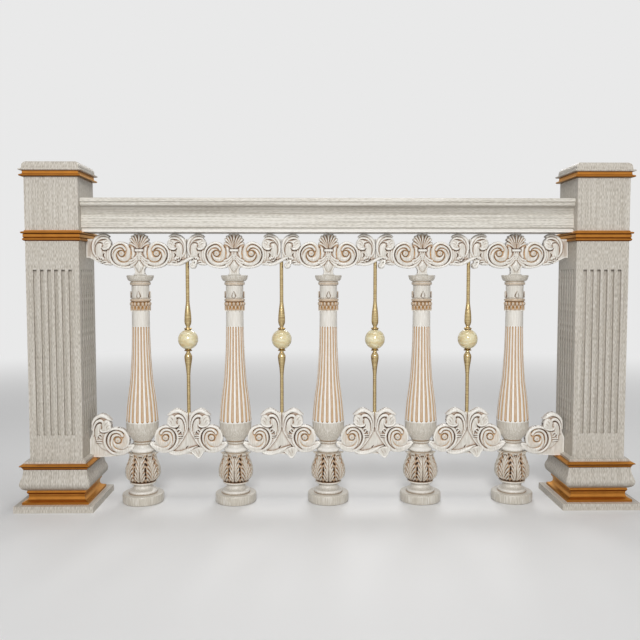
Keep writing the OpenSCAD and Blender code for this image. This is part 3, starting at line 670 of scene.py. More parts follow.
def add_piece(name, points, faces, material, glaze_and_painted_light=None, crease=50):
    """Mesh object from points in mm and arrays of faces, smooth except where they meet past crease degrees.

    The last argument holds two values for each point: how hollow its place is, which sets the glaze and
    painted shade there, or a painted highlight where it is below nought, and how far the glaze there is gilt.
    """
    mesh = bpy.data.meshes.new(name)
    mesh.from_pydata((points * MM).tolist(), [], sum([group.tolist() for group in faces], []))
    mesh.shade_smooth()
    mesh.set_sharp_from_angle(angle=math.radians(crease))
    for k, attribute in enumerate(("hollow", "gilt") if glaze_and_painted_light is not None else ()):
        values = glaze_and_painted_light[:, k].astype(np.float32)
        mesh.attributes.new(attribute, "FLOAT", "POINT").data.foreach_set("value", values)
    mesh.materials.append(material)
    piece = bpy.data.objects.new(name, mesh)
    bpy.context.scene.collection.objects.link(piece)
    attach(piece, BODY)
    return piece


def panel_surface(relief, cell, lowest=4.5, highest=18.0):
    """Front, back and edge of a relief: its grid cells inside the outline, with their rim moved onto the
    outline."""
    rows, cols = relief.shape
    inside = relief.inside.reshape(rows, cols)
    height = np.clip(relief.height.reshape(rows, cols), lowest, highest)
    keep = (inside[:-1, :-1] + inside[1:, :-1] + inside[:-1, 1:] + inside[1:, 1:]) > 0
    # where two kept cells touch at a corner only, a neighbour of both is kept too
    for _ in range(3):
        rising = keep[:-1, :-1] & keep[1:, 1:] & ~keep[1:, :-1] & ~keep[:-1, 1:]
        falling = keep[1:, :-1] & keep[:-1, 1:] & ~keep[:-1, :-1] & ~keep[1:, 1:]
        keep[1:, :-1] |= rising
        keep[:-1, :-1] |= falling
    # points with 1 to 3 kept cells round them are the rim, and move along inside's slope to its zero line
    padded = np.pad(keep, 1)
    around = padded[:-1, :-1].astype(int) + padded[1:, :-1] + padded[:-1, 1:] + padded[1:, 1:]
    rim = (around > 0) & (around < 4)
    slope_z, slope_x = np.gradient(inside, cell)
    steep = np.maximum(slope_x ** 2 + slope_z ** 2, 0.25)
    shift = np.where(rim, np.clip(inside, -0.8 * cell, 0.8 * cell) / steep, 0)
    x = relief.x.reshape(rows, cols) - shift * slope_x
    z = relief.z.reshape(rows, cols) - shift * slope_z
    ground = np.where(inside > 0, height, 0)
    # glaze in the hollows, partly patina and partly painted shade
    hollow = np.maximum(hollowness(ground, cell), relief.glaze_and_painted_light.reshape(rows, cols))
    # painted highlight: the crests are lightened towards the white ground
    hollow = hollow - crest_highlights(ground, cell)

    # front and back from the kept cells, and an edge wherever a kept cell has no neighbour
    used = around > 0
    number = np.full((rows, cols), -1)
    number[used] = np.arange(used.sum())
    count = int(used.sum())
    front = np.column_stack([x[used], -height[used], z[used]])
    back = front * (1, -1, 1)
    a, b = number[:-1, :-1], number[:-1, 1:]
    d, c = number[1:, :-1], number[1:, 1:]
    quads = np.stack([a, b, c, d], axis=-1)[keep]
    faces = [quads, quads[:, ::-1] + count]
    below, above = ~padded[:-2, 1:-1], ~padded[2:, 1:-1]
    left, right = ~padded[1:-1, :-2], ~padded[1:-1, 2:]
    for open_side, start, end in ((below, a, b), (right, b, c), (above, c, d), (left, d, a)):
        edge = keep & open_side
        s, e = start[edge], end[edge]
        faces.append(np.stack([e, s, s + count, e + count], axis=-1))
    glaze_and_painted_light = np.column_stack([hollow[used], relief.gilt.reshape(rows, cols)[used]])
    return np.vstack([front, back]), [np.vstack(faces)], np.vstack([glaze_and_painted_light, glaze_and_painted_light])


def turned_surface(radius, height, turn):
    """Surface round the Z axis from grids of radius, height and angle, its rows going up, with flat ends."""
    rows, cols = radius.shape
    points = np.stack([radius * np.cos(turn), radius * np.sin(turn), height], axis=-1).reshape(-1, 3)
    ends = np.array([[0, 0, height[0, 0]], [0, 0, height[-1, 0]]])
    index = np.arange(rows * cols).reshape(rows, cols)
    after = np.roll(index, -1, axis=1)
    quads = np.stack([index[:-1], after[:-1], after[1:], index[1:]], axis=-1).reshape(-1, 4)
    low = np.stack([after[0], index[0], np.full(cols, rows * cols)], axis=-1)
    high = np.stack([index[-1], after[-1], np.full(cols, rows * cols + 1)], axis=-1)
    return np.vstack([points, ends]), [quads, low, high]


def turned_profile(profile, columns):
    """Plain turning of a profile of [radius, height] points, without glaze."""
    profile = np.asarray(profile, float)
    turn = np.linspace(0, 2 * math.pi, columns, endpoint=False)
    grid = np.ones((len(profile), columns))
    points, faces = turned_surface(profile[:, :1] * grid, profile[:, 1:] * grid, turn[None, :] * grid)
    return points, faces, np.zeros((len(points), 2))


def joined(parts):
    """Several closed surfaces as one list of points, one of faces and one of glaze."""
    first = np.cumsum([0] + [len(points) for points, _, _ in parts])
    faces = []
    for start, (_, part_faces, _) in zip(first, parts):
        faces += [(np.array(group) + start) for group in part_faces]
    return np.vstack([part[0] for part in parts]), faces, np.vstack([part[2] for part in parts])


def end_glaze_and_painted_light(hollow, gilt):
    """Glaze, painted shade and painted highlight of a turned surface: its grids of hollowness and of gilt,
    and two clean ends.
    """
    return np.column_stack([np.append(np.clip(field, -1, 1).ravel(), [0, 0]) for field in (hollow, gilt)])


def roll(low, high, out, steps=8):
    """Half an ellipse between two points of a profile, standing out by out, or hollowed where out is
    negative."""
    t = np.linspace(0, math.pi, steps + 1)
    share = (1 - np.cos(t)) / 2
    low, high = np.asarray(low, float), np.asarray(high, float)
    line = low + (high - low) * share[:, None]
    line[:, 0] += out * np.sin(t)
    return line.tolist()


# The turned baluster


def bulb_base():
    """Radius of the bulb by height, before its leaves are carved."""
    return curve([(37.4, 66), (41, 70.5), (48.6, 83), (50.3, 96), (48.8, 112), (43.4, 128), (38.6, 141),
                  (36.6, 151), (36, 158)], 10)


def bulb_leaves(relief):
    """Acanthus on a quarter of the bulb: X is the angle from the quarter's middle, in mm of BULB_STEP a
    degree.

    A leaf that widens upwards stands at the front, and half a leaf that narrows on each side. Long lobes
    sweep up from the leaves' middle ribs and meet over a row of drilled holes; the tips curl out at the
    top.
    """
    def at(points):
        return np.array(points, float) * (BULB_STEP, 1)

    relief.body(at([(-70, 60), (70, 60), (70, 165), (-70, 165)]), 12.6, soft=0.1)
    front = (
        [(3.6, 70), (9, 76), (14, 83), (17.4, 90)],
        [(3, 74), (7.4, 86), (12.4, 96), (16.8, 102)],
        [(2.8, 86), (6.4, 99), (11.6, 110), (17.6, 116)],
        [(2.8, 100), (6.4, 114), (12.4, 125), (20, 131)],
        [(2.8, 115), (6.6, 130), (13.4, 141), (22.4, 147)],
        [(3, 130), (6.4, 142), (11, 150), (16, 154)],
    )
    beside = (
        [(40, 70), (33.6, 75), (27, 81), (22.6, 87)],
        [(42, 74), (36, 84), (29, 93), (23.4, 99)],
        [(42, 86), (36.6, 98), (30, 107), (23.8, 113)],
        [(42, 99), (37.4, 112), (31.4, 121), (25, 127)],
        [(42.2, 113), (38.4, 126), (33.4, 135), (27.6, 141)],
        [(42.6, 127), (40, 139), (36.4, 147), (32, 152)],
    )
    for hand in (1, -1):
        for points in front + beside:
            relief.strand(curve(at(points) * (hand, 1)), (1.8, 3.1, 3.6, 2.6), (14.4, 15.8, 16.8, 15.8), 11,
                          0.5)
        relief.strand(at([(1.5, 68), (1.8, 152)]) * (hand, 1), (1.5, 1.9), (15.4, 16.2), 12)
        relief.strand(at([(44, 68), (44, 152)]) * (hand, 1), (2, 2.4), (15, 16.2), 12)
    relief.groove(at([(0, 68), (0, 106)]), (1.1, 0.8), (3.4, 1.4))
    for centre in (-45, 0, 45):
        tip = at([(centre - 11, 151), (centre - 5, 155), (centre, 156.4), (centre + 5, 155),
                  (centre + 11, 151)])
        relief.strand(curve(tip), (2.2, 3.8, 4.4, 3.8, 2.2), (16, 23, 25, 23, 16), 12)
        relief.groove(at([(centre - 9, 147.5), (centre, 150.4), (centre + 9, 147.5)]), (1, 1.5, 1),
                      (1.5, 3, 1.5))
    for hand in (1, -1):
        for points, half in (
            ([(21.6, 83.6), (21.4, 86.4)], 3.6), ([(21, 96), (20.8, 99)], 3.8),
            ([(20.2, 106), (19.8, 115)], 3.4), ([(20.4, 129), (27.4, 124.6)], 3.9),
            ([(23.8, 143.8), (29.6, 138.4)], 3.9), ([(31, 151), (32, 153)], 3),
        ):
            relief.groove(at(points) * (hand, 1), half, 13)
    for x in (-45, -31, -17, 0, 17, 31, 45):
        relief.drill(at([(x, 69.6)])[0], 5.6, 3)


def bulb(columns, rows):
    """The leafed bulb: the base's radius plus the carved height, the quarter's pattern four times round.

    The carving fades out at both ends. Glaze lies between the lobes and in every hollow, partly as patina
    and partly as painted shade; the crests get a painted highlight, and painted shade is darkest in the
    holes and at the foot.
    """
    quarter = columns // 4
    across = (np.arange(quarter) / quarter * 90 - 45) * BULB_STEP
    up = np.linspace(BULB_LOW, BULB_TOP, rows)
    relief = Relief(across, up)
    bulb_leaves(relief)
    carved = np.tile(np.clip(relief.height.reshape(relief.shape), 5, 25) - BULB_GROUND, (1, 4))
    fade = np.clip((up - BULB_LOW) / 4, 0, 1) * np.clip((BULB_TOP + 0.5 - up) / 1.6, 0, 1)
    base = bulb_base()
    radius = np.interp(up, base[:, 1], base[:, 0])[:, None] + carved * fade[:, None]
    turn = np.radians(np.arange(columns) / columns * 360 - 45 - 90)
    grid = np.ones_like(radius)
    points, faces = turned_surface(radius, up[:, None] * grid, turn[None, :] * grid)

    # painted shade in the gaps between the lobes and in the hollows, and a painted highlight on the crests
    gaps = np.clip((2.4 - carved) / 3.2, 0, 1)
    crest_highlight = np.clip((carved - 3) / 1.3, 0, 1)
    shade = 0.06 + 0.6 * gaps + 0.8 * hollowness(carved + BULB_GROUND, 1.3) - 1.15 * crest_highlight
    shade *= np.clip((BULB_TOP - 0.6 - up) / 3, 0, 1)[:, None]
    # the drilled holes and deep cuts keep their painted shade
    shade = np.maximum(shade, np.tile(relief.glaze_and_painted_light.reshape(relief.shape), (1, 4)))
    # painted shade, darkest at the bulb's foot
    shade = np.maximum(shade, 0.95 * np.clip((BULB_LOW + 6.5 - up) / 2.6, 0, 1)[:, None])
    return points, faces, end_glaze_and_painted_light(shade, np.full_like(shade, 0.4))


def fluted_shaft(depth):
    """The taper with twenty flutes: each falls off from its middle line, and to its rounded ends, as a half
    ball.

    Gilt glaze lies in the flutes, mostly along their edges and at their ends, where it is partly painted
    shade; the fillets and the plain turning above the flutes get a painted highlight.
    """
    shape = curve([(50.4, 252), (50.3, 262), (48, 290), (44.8, 322), (40.5, 354), (36.2, 385), (33.5, 417),
                   (31.4, 449), (29.6, 481), (28.2, 528), (27.7, 560), (27.2, 604)], 4)
    start, end = 258, 557
    flutes = 20
    flute_half = 5
    first_middle = -5.7 - 90
    offset = np.array([0, 0.35, 1.1, 2.2, 3.6, 5, 6.4, 7.8, 8.9, 9.65, 10, 14]) - flute_half
    rise = np.array([0, 0.8, 2, 3.6, 5.5])
    up = np.array([252, 255, *(start + rise), *np.linspace(start + 16, end - 16, 24), *(end - rise[::-1]),
                   end + 1.5, 562, 580, 604])
    radius = np.interp(up, shape[:, 1], shape[:, 0])
    past = np.clip(np.maximum(start + rise[-1] - up, up - end + rise[-1]) / rise[-1], 0, 1)
    bowl = np.sqrt(np.clip(1 - (offset[None, :] / flute_half) ** 2 - past[:, None] ** 2, 0, 1))
    bowl[(up < start) | (up > end)] = 0
    around = np.tile(bowl, (1, flutes))
    turn = np.radians((np.arange(flutes)[:, None] * 360 / flutes + offset[None, :] + first_middle).ravel())
    grid = radius[:, None] - depth * around
    points, faces = turned_surface(grid, up[:, None] * np.ones_like(grid),
                                   turn[None, :] * np.ones_like(grid))

    # gilt glaze in the flutes, thickest along their walls as painted shade; painted highlight on the fillets
    # and above the flutes
    tan = np.where(around > 0, 0.8 - 0.5 * around ** 2, -0.65)
    tan[up < start] = 0
    tan[up > end] = -0.4
    # painted shade at the flutes' ends, most at the lower ones
    lower_end = (up < start + 9)[:, None]
    flute_end_shade = np.where(lower_end, 0.55, 0.2) * past[:, None] * (around > 0.05)
    return points, faces, end_glaze_and_painted_light(tan + flute_end_shade, np.ones_like(tan))


def beaded_neck(columns, rows):
    """The neck: pointed drops, a row of tall beads, a ring and four teardrops, each a boss on the plain
    turning.

    A bead is half an ellipsoid. A drop and a teardrop are half round across, with a half width, in degrees,
    that runs to a point as a power of the height. q is the way across a teardrop, with a groove cut just
    past 1.
    """
    base = np.array([[27.2, 604], [27.2, 618], [27.6, 620], [27.6, 634]]
                    + roll([29.4, 634.6], [29.4, 643.2], 2.8) + [[26.3, 644.2], [26, 646], [26, 684]])
    grid_a, grid_z = np.meshgrid(np.arange(columns) / columns * 360, np.linspace(604, 684, rows))
    spacing = 24
    to_bead = (grid_a + spacing / 2) % spacing - spacing / 2
    bead = np.sqrt(np.clip(1 - (to_bead / 10) ** 2 - ((grid_z - 627) / 6.8) ** 2, 0, 1))
    to_drop = grid_a % spacing - spacing / 2
    drop_half = 8.5 * np.clip((grid_z - 608) / 9, 0, 1) ** 0.7
    drop = np.sqrt(np.clip(1 - (to_drop / np.maximum(drop_half, 0.1)) ** 2, 0, 1)) * (grid_z < 622)
    to_tear = (grid_a + 45) % 90 - 45
    round_foot = np.sqrt(np.clip((grid_z - 645.5) / 4, 0, 1))
    tear_half = 13 * round_foot * np.clip((666.5 - grid_z) / 15, 0, 1) ** 0.7
    q = np.abs(to_tear) / np.maximum(tear_half, 0.1)
    tear = np.sqrt(np.clip(1 - q ** 2, 0, 1)) * (tear_half > 0.5)
    groove = 1.2 * (tear_half > 1.5) * np.exp(-((q - 1.15) / 0.15) ** 2)
    radius = np.maximum(np.interp(grid_z, base[:, 1], base[:, 0]), 27 + 6.4 * bead)
    radius = np.maximum(radius, 27.2 + 4.2 * drop)
    radius = np.maximum(radius, 26 + 6.4 * tear ** 1.2) - groove
    points, faces = turned_surface(radius, grid_z, np.radians(grid_a - 90))

    # glaze between the drops and beads, partly patina and partly painted shade; painted shade as a dark
    # outline round each teardrop and as lines under and over the ring; a gilt tint on the ring; painted
    # highlight at the neck's foot and on the plain neck above 648 mm
    rows_of_work = (grid_z > 607) & (grid_z < 634)
    sunk = np.clip((31 - radius) / 3.4, 0, 1) * rows_of_work * np.clip((grid_z - 607) / 8, 0, 1)
    tear_outline_shade = 1.2 * np.exp(-((q - 1) / 0.2) ** 2) * (tear_half > 1.5)
    line = np.exp(-((grid_z - 634.2) / 1) ** 2) + 0.5 * np.exp(-((grid_z - 644.6) / 1) ** 2)
    on_ring = np.exp(-((grid_z - 638.8) / 4) ** 4)
    painted_light_and_glaze = 0.24 * rows_of_work + 0.55 * sunk + tear_outline_shade + 0.7 * line + 0.3 * on_ring
    painted_light_and_glaze -= 0.4 * (grid_z < 606) + 0.3 * (grid_z > 648) * (tear_outline_shade < 0.1)
    return points, faces, end_glaze_and_painted_light(painted_light_and_glaze, 0.8 * rows_of_work + on_ring)


def plain_turnings():
    """The foot with its ring, hollow and collar; the waist; the belly; and the cap over the neck."""
    foot = [[60, 0], [62.6, 0.8], [64.4, 3.4], [64.8, 10], [64.8, 24], [64.2, 27], [62.4, 29.2], [60, 30]]
    foot += [[47, 30], [43.4, 30]] + roll([43, 30.2], [41.4, 40], 2.6) + [[40, 40.8]]
    foot += curve([(39.4, 41), (34.6, 43.6), (31, 47.4), (29.4, 52.6), (30, 57), (33.4, 60)], 3).tolist()
    foot += roll([38.6, 60.3], [38.6, 66], 3, 6) + [[38.6, 66.6]]
    waist = [[31, 156], [33, 160], [35.4, 162.2], [36.8, 164.2], [36.6, 166.4]]
    waist += curve([(34.6, 168.6), (29.4, 172.4), (25.6, 177.6), (24, 183), (24.2, 186.4)], 4).tolist()
    waist += roll([26.4, 187.4], [26.6, 193.6], 3.4, 6) + [[26, 194.8]]
    belly = curve([(27.4, 195), (30.4, 199), (38, 210), (43.4, 218), (47, 227), (49.6, 239), (50.4, 252)], 4)
    cap = [[26, 684]] + roll([29.4, 685.6], [29.6, 695], 2.6) + [[29, 695.8], [29.4, 697]]
    cap += curve([(31.6, 697.2), (36, 699.6), (39, 703.4), (40.6, 707.6), (41, 710)], 4).tolist()
    cap += [[41.2, 710.4], [41.9, 711.4], [41.9, 714.6], [41.2, 715.8], [40, 716]]
    return [
        # each call: lines of glaze, partly painted shade in the creases, then lines of painted highlight
        lined(foot, ((29.6, 1.1, 0.8), (60, 0.9, 0.3), (67, 1.4, 1)),
              ((37, 3, 0.5), (64, 1.4, 0.6), (50, 7, 0.3))),
        lined(waist, ((156, 3.6, 0.8), (186.6, 1.2, 0.75), (190.6, 2.6, 0.26), (195, 1.1, 0.9)),
              ((170, 4.6, 0.8), (179, 5, 0.4), (191, 1.4, 0.3))),
        lined(belly, ((195, 2, 0.9),)),
        lined(cap, ((684.8, 1.2, 0.6), (690, 3, 0.26), (696.2, 1, 0.35))),
    ]


def lined(profile, glazed, painted_highlight=()):
    """Turning of a profile with lines of glaze and lines of painted highlight, each as height, half width and
    strength. The glaze lines lie in the creases, where they are partly painted shade.

    A line fades from its height as a bell curve. On the foot's flat top the glaze stays beside the ring,
    within 46 mm of the axis. A thin glaze is gilt, and a thick one is mostly brown.
    """
    points, faces, glaze_and_painted_light = turned_profile(profile, 96)
    from_axis = np.hypot(points[:, 0], points[:, 1])
    for height, half, strength in glazed:
        line = strength * np.exp(-((points[:, 2] - height) / half) ** 2)
        glaze_and_painted_light[:, 0] = np.maximum(glaze_and_painted_light[:, 0], np.where((height > 40) | (from_axis < 46), line, 0))
    for height, half, strength in painted_highlight:
        line = strength * np.exp(-((points[:, 2] - height) / half) ** 2)
        glaze_and_painted_light[:, 0] -= np.where((height > 40) | (from_axis < 46), line, 0)
    glaze_and_painted_light[:, 1] = np.where(glaze_and_painted_light[:, 0] < 0.3, 1, 0.3)
    return points, faces, glaze_and_painted_light


def turned_baluster(depth):
    """A whole baluster, from its foot to its cap, as closed surfaces that stand on each other."""
    foot, waist, belly, cap = plain_turnings()
    return joined([foot, bulb(240, 72), waist, belly, cap, fluted_shaft(depth), beaded_neck(180, 66)])


# The brass spindle


def spindle_profile(ball_z, ball_r):
    """Rod, swelling, neck and flared collar below the ball, and the same with a longer taper above it."""
    low, high = ball_z - ball_r + 0.6, ball_z + ball_r - 0.6
    rod = 5.5
    below = [[rod, 250], [rod, 401]]
    below += curve([(rod, 401), (7.6, 425), (10.8, 446), (12, 457), (11.4, 464), (8, 471), (5.8, 475.5),
                    (5.8, 479)], 5)[1:].tolist()
    below += roll([8, low - 6], [8.6, low - 2.4], 4, 6) + [[9.4, low - 1.6], [10.4, low], [8.6, low + 1]]
    above = [[8.6, high - 1], [10.6, high]] + roll([9.4, high + 0.6], [8, high + 5], 3.4, 6)
    above += curve([(5.8, high + 7), (6, high + 10), (9.2, high + 17), (10.6, high + 25), (10.2, high + 42),
                    (8.6, high + 60), (6.4, high + 78), (rod, high + 90)], 5).tolist() + [[rod, 764]]
    return below, above


# Finishes


def add_node(tree, kind, settings=(), stops=(), **inputs):
    """A node with its settings and colour stops.

    An input is called by its name, or by i and its number, and takes a value or a link.
    """
    node = tree.nodes.new(kind)
    for name, value in dict(settings).items():
        setattr(node, name, value)
    for k, (place, colour) in enumerate(stops):
        stop = node.color_ramp.elements[k] if k < 2 else node.color_ramp.elements.new(place)
        stop.position = place
        stop.color = colour
    for key, value in inputs.items():
        socket = node.inputs[int(key[1:])] if key[1:].isdigit() else node.inputs[key.replace("_", " ")]
        if isinstance(value, bpy.types.NodeSocket):
            tree.links.new(value, socket)
        else:
            socket.default_value = value
    return node


def new_material(name):
    """A material with an empty node tree."""
    material = bpy.data.materials.new(name)
    material.use_nodes = True
    material.node_tree.nodes.clear()
    return material.node_tree


def mix_colours(a, b, share):
    """A colour that lies a share of the way from a to b."""
    return [x + (y - x) * share for x, y in zip(a, b)]


def brushed_paint(name, finish, base, upright, lasting):
    """Ash under brushed oil paint: fine darker pores and paler brush streaks along the grain, on a satin
    ground.

    The real pores are a third of a millimetre wide; they are drawn 1.6 mm wide, so that they show. Short
    pores of 11 mm are mixed with streaks of 260 mm, whose share is lasting. On an upright piece the pattern
    crosses X where the face looks forwards, back or up, and Y where it looks sideways, so that it runs down
    each moulding; on the rail it lies along X. Painted shade darkens the faces that turn down and, on the
    newels, the flutes, most at their upper ends; on the rail a painted highlight lightens the fillet at its
    foot.
    """
    tree = new_material(name)
    place = add_node(tree, "ShaderNodeTexCoord")
    spot = place.outputs["Object"]
    across = 1 / (PORE * MM)
    slope = add_node(tree, "ShaderNodeSeparateXYZ", i0=place.outputs["Normal"]).outputs[2]
    if upright:
        faces = add_node(tree, "ShaderNodeVectorMath", {"operation": "ABSOLUTE"}, i0=place.outputs["Normal"])
        faces = add_node(tree, "ShaderNodeSeparateXYZ", i0=faces.outputs[0]).outputs
        sideways = add_node(tree, "ShaderNodeMath", {"operation": "GREATER_THAN"}, i0=faces[0], i1=faces[1])
        axes = add_node(tree, "ShaderNodeSeparateXYZ", i0=spot).outputs
        chosen = add_node(tree, "ShaderNodeMix", i0=sideways.outputs[0], i2=axes[0], i3=axes[1])
        spot = add_node(tree, "ShaderNodeCombineXYZ", i0=chosen.outputs[0], i2=axes[2]).outputs[0]
    # the two noises are moved apart, so that they don't follow each other
    noises = []
    for length in (11, 260):
        along = 1 / (length * MM)
        scale = (across, along, along) if upright else (along, across, across)
        grain = add_node(tree, "ShaderNodeMapping", i0=spot, Location=(length, length, 0), Scale=scale)
        noises.append(add_node(tree, "ShaderNodeTexNoise", i0=grain.outputs[0], Scale=1.0,
                               Detail=0.0).outputs[0])
    pores = add_node(tree, "ShaderNodeMix", i0=lasting, i2=noises[0], i3=noises[1]).outputs[0]
    dark = mix_colours(base, finish.grain, 0.4)
    light = mix_colours(base, WHITE, 0.2)
    colour = add_node(tree, "ShaderNodeValToRGB", stops=((0.38, dark), (0.5, base), (0.6, light)),
                      i0=pores).outputs[0]
    # painted highlight on the fillet at the rail's foot
    if not upright:
        colour = painted_fillet_highlight(tree, spot, colour, finish.ground)
    # painted shade on faces that turn down
    under = add_node(tree, "ShaderNodeMapRange", i0=slope, i1=-0.03, i2=-0.6, i3=0.0, i4=0.55)
    colour = add_node(tree, "ShaderNodeMix", {"data_type": "RGBA"}, i0=under.outputs[0], i6=colour,
                      i7=finish.grain).outputs[2]
    # painted shade in the newels' flutes, most at their upper ends
    if upright:
        colour = flute_painted_shade(tree, axes, colour, finish.grain)
    bump = add_node(tree, "ShaderNodeBump", Strength=0.5, Distance=0.3 * MM, Height=pores)
    shader = add_node(tree, "ShaderNodeBsdfPrincipled", Base_Color=colour, Roughness=0.5,
                      Specular_IOR_Level=0.35, Normal=bump.outputs[0])
    add_node(tree, "ShaderNodeOutputMaterial", Surface=shader.outputs[0])


def painted_fillet_highlight(tree, spot, colour, ground):
    """Colour that turns a little over half way to the white ground on the fillet along the handrail's foot,
    as a painted highlight."""
    fillet_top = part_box("handrail")[0][2] + 12.8 * MM
    height = add_node(tree, "ShaderNodeSeparateXYZ", i0=spot).outputs[2]
    painted_highlight = add_node(tree, "ShaderNodeMapRange", i0=height, i1=fillet_top, i2=fillet_top - 0.4 * MM,
                      i4=0.55)
    return add_node(tree, "ShaderNodeMix", {"data_type": "RGBA"}, i0=painted_highlight.outputs[0], i6=colour,
                    i7=ground).outputs[2]


def flute_painted_shade(tree, axes, colour, glaze_and_painted_light):
    """Colour with painted shade in a newel's flutes: the further a place lies inside the post's faces, the
    more, and most at the flutes' upper ends, as a painted shadow under their tops."""
    low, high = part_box("right_newel_post")
    half = (high[0] - low[0]) / 2
    flute_depth = 7 * MM
    flute_top = 729 * MM
    head_low = 760 * MM
    from_middle = add_node(tree, "ShaderNodeMath", {"operation": "ABSOLUTE"}, i0=axes[0])
    from_axis = add_node(tree, "ShaderNodeMath", {"operation": "SUBTRACT"}, i0=from_middle.outputs[0],
                         i1=(high[0] + low[0]) / 2)
    sides = [add_node(tree, "ShaderNodeMath", {"operation": "ABSOLUTE"}, i0=way).outputs[0]
             for way in (from_axis.outputs[0], axes[1])]
    outer = add_node(tree, "ShaderNodeMath", {"operation": "MAXIMUM"}, i0=sides[0], i1=sides[1])
    sunk = add_node(tree, "ShaderNodeMapRange", i0=outer.outputs[0], i1=half - 0.4 * MM,
                    i2=half - flute_depth)
    ends = add_node(tree, "ShaderNodeMapRange", i0=axes[2], i1=flute_top - 5 * MM, i2=flute_top, i3=0.16,
                    i4=0.8)
    below = add_node(tree, "ShaderNodeMath", {"operation": "LESS_THAN"}, i0=axes[2], i1=head_low)
    share = add_node(tree, "ShaderNodeMath", {"operation": "MULTIPLY"}, i0=ends.outputs[0],
                     i1=below.outputs[0])
    share = add_node(tree, "ShaderNodeMath", {"operation": "MULTIPLY"}, i0=sunk.outputs[0],
                     i1=share.outputs[0])
    glazed = add_node(tree, "ShaderNodeMix", {"data_type": "RGBA"}, i0=share.outputs[0], i6=colour, i7=glaze_and_painted_light)
    return glazed.outputs[2]


def paint_with_glaze_and_painted_light(name, finish, base, wear):
    """Satin oil paint with a brown glaze rubbed into the hollows, partly patina and partly painted shade, and
    wiped off the raised parts.

    The mesh's hollow attribute says how deep a place lies, and its gilt attribute how far the glaze there
    turns from brown to gilt. The glaze, partly patina and partly painted shade, comes in between the two
    values of wear, and its darkest tone follows in the deepest holes as painted shade. Where hollow is below
    nought the paint turns to its white ground as a painted highlight, as on crests and fillets. Noise of
    12 mm smudges the glaze's edge, and brush marks of 2 mm by 30 mm show.
    """
    tree = new_material(name)
    place = add_node(tree, "ShaderNodeTexCoord").outputs["Object"]
    brushed = add_node(tree, "ShaderNodeMapping", i0=place,
                       Scale=(1 / (2 * MM), 1 / (2 * MM), 1 / (30 * MM)))
    marks = add_node(tree, "ShaderNodeTexNoise", i0=brushed.outputs[0], Scale=1.0, Detail=2.0)
    paint = add_node(tree, "ShaderNodeValToRGB", i0=marks.outputs[0], stops=(
        (0.32, mix_colours(base, finish.grain, 0.22)), (0.5, base), (0.7, mix_colours(base, WHITE, 0.4))))
    hollow = add_node(tree, "ShaderNodeAttribute", {"attribute_name": "hollow"}).outputs["Fac"]
    # painted highlight: where hollow is below nought the paint turns to the white ground
    painted_highlight = add_node(tree, "ShaderNodeMapRange", i0=hollow, i1=0.0, i2=-1.0)
    paint = add_node(tree, "ShaderNodeMix", {"data_type": "RGBA"}, i0=painted_highlight.outputs[0], i6=paint.outputs[0],
                     i7=finish.ground)
    cloud = add_node(tree, "ShaderNodeTexNoise", i0=place, Scale=1 / (12 * MM), Detail=2.0)
    smudge = add_node(tree, "ShaderNodeMath", {"operation": "MULTIPLY_ADD"}, i0=cloud.outputs[0], i1=0.16,
                      i2=-0.08)
    painted_light_and_glaze = add_node(tree, "ShaderNodeMath", {"operation": "ADD", "use_clamp": True}, i0=hollow,
                    i1=smudge.outputs[0])
    share = add_node(tree, "ShaderNodeValToRGB", i0=painted_light_and_glaze.outputs[0],
                     stops=((wear[0], BLACK), (wear[1], WHITE)))
    # painted shade: the deepest hollows and the holes turn to the darkest tone
    depth = add_node(tree, "ShaderNodeValToRGB", i0=painted_light_and_glaze.outputs[0],
                     stops=((wear[1], BLACK), (1.0, WHITE)))
    gilt = add_node(tree, "ShaderNodeAttribute", {"attribute_name": "gilt"}).outputs["Fac"]
    glaze_and_painted_light = add_node(tree, "ShaderNodeMix", {"data_type": "RGBA"}, i0=gilt, i6=finish.patina_and_shade,
                     i7=finish.flute)
    tinted = add_node(tree, "ShaderNodeMix", {"data_type": "RGBA"}, i0=share.outputs[0], i6=paint.outputs[2],
                      i7=glaze_and_painted_light.outputs[2])
    colour = add_node(tree, "ShaderNodeMix", {"data_type": "RGBA"}, i0=depth.outputs[0],
                      i6=tinted.outputs[2], i7=finish.deep_shade)
    bump = add_node(tree, "ShaderNodeBump", Strength=0.5, Distance=0.15 * MM, Height=marks.outputs[0])
    shader = add_node(tree, "ShaderNodeBsdfPrincipled", Base_Color=colour.outputs[2], Roughness=0.32,
                      Specular_IOR_Level=0.45, Normal=bump.outputs[0])
    add_node(tree, "ShaderNodeOutputMaterial", Surface=shader.outputs[0])


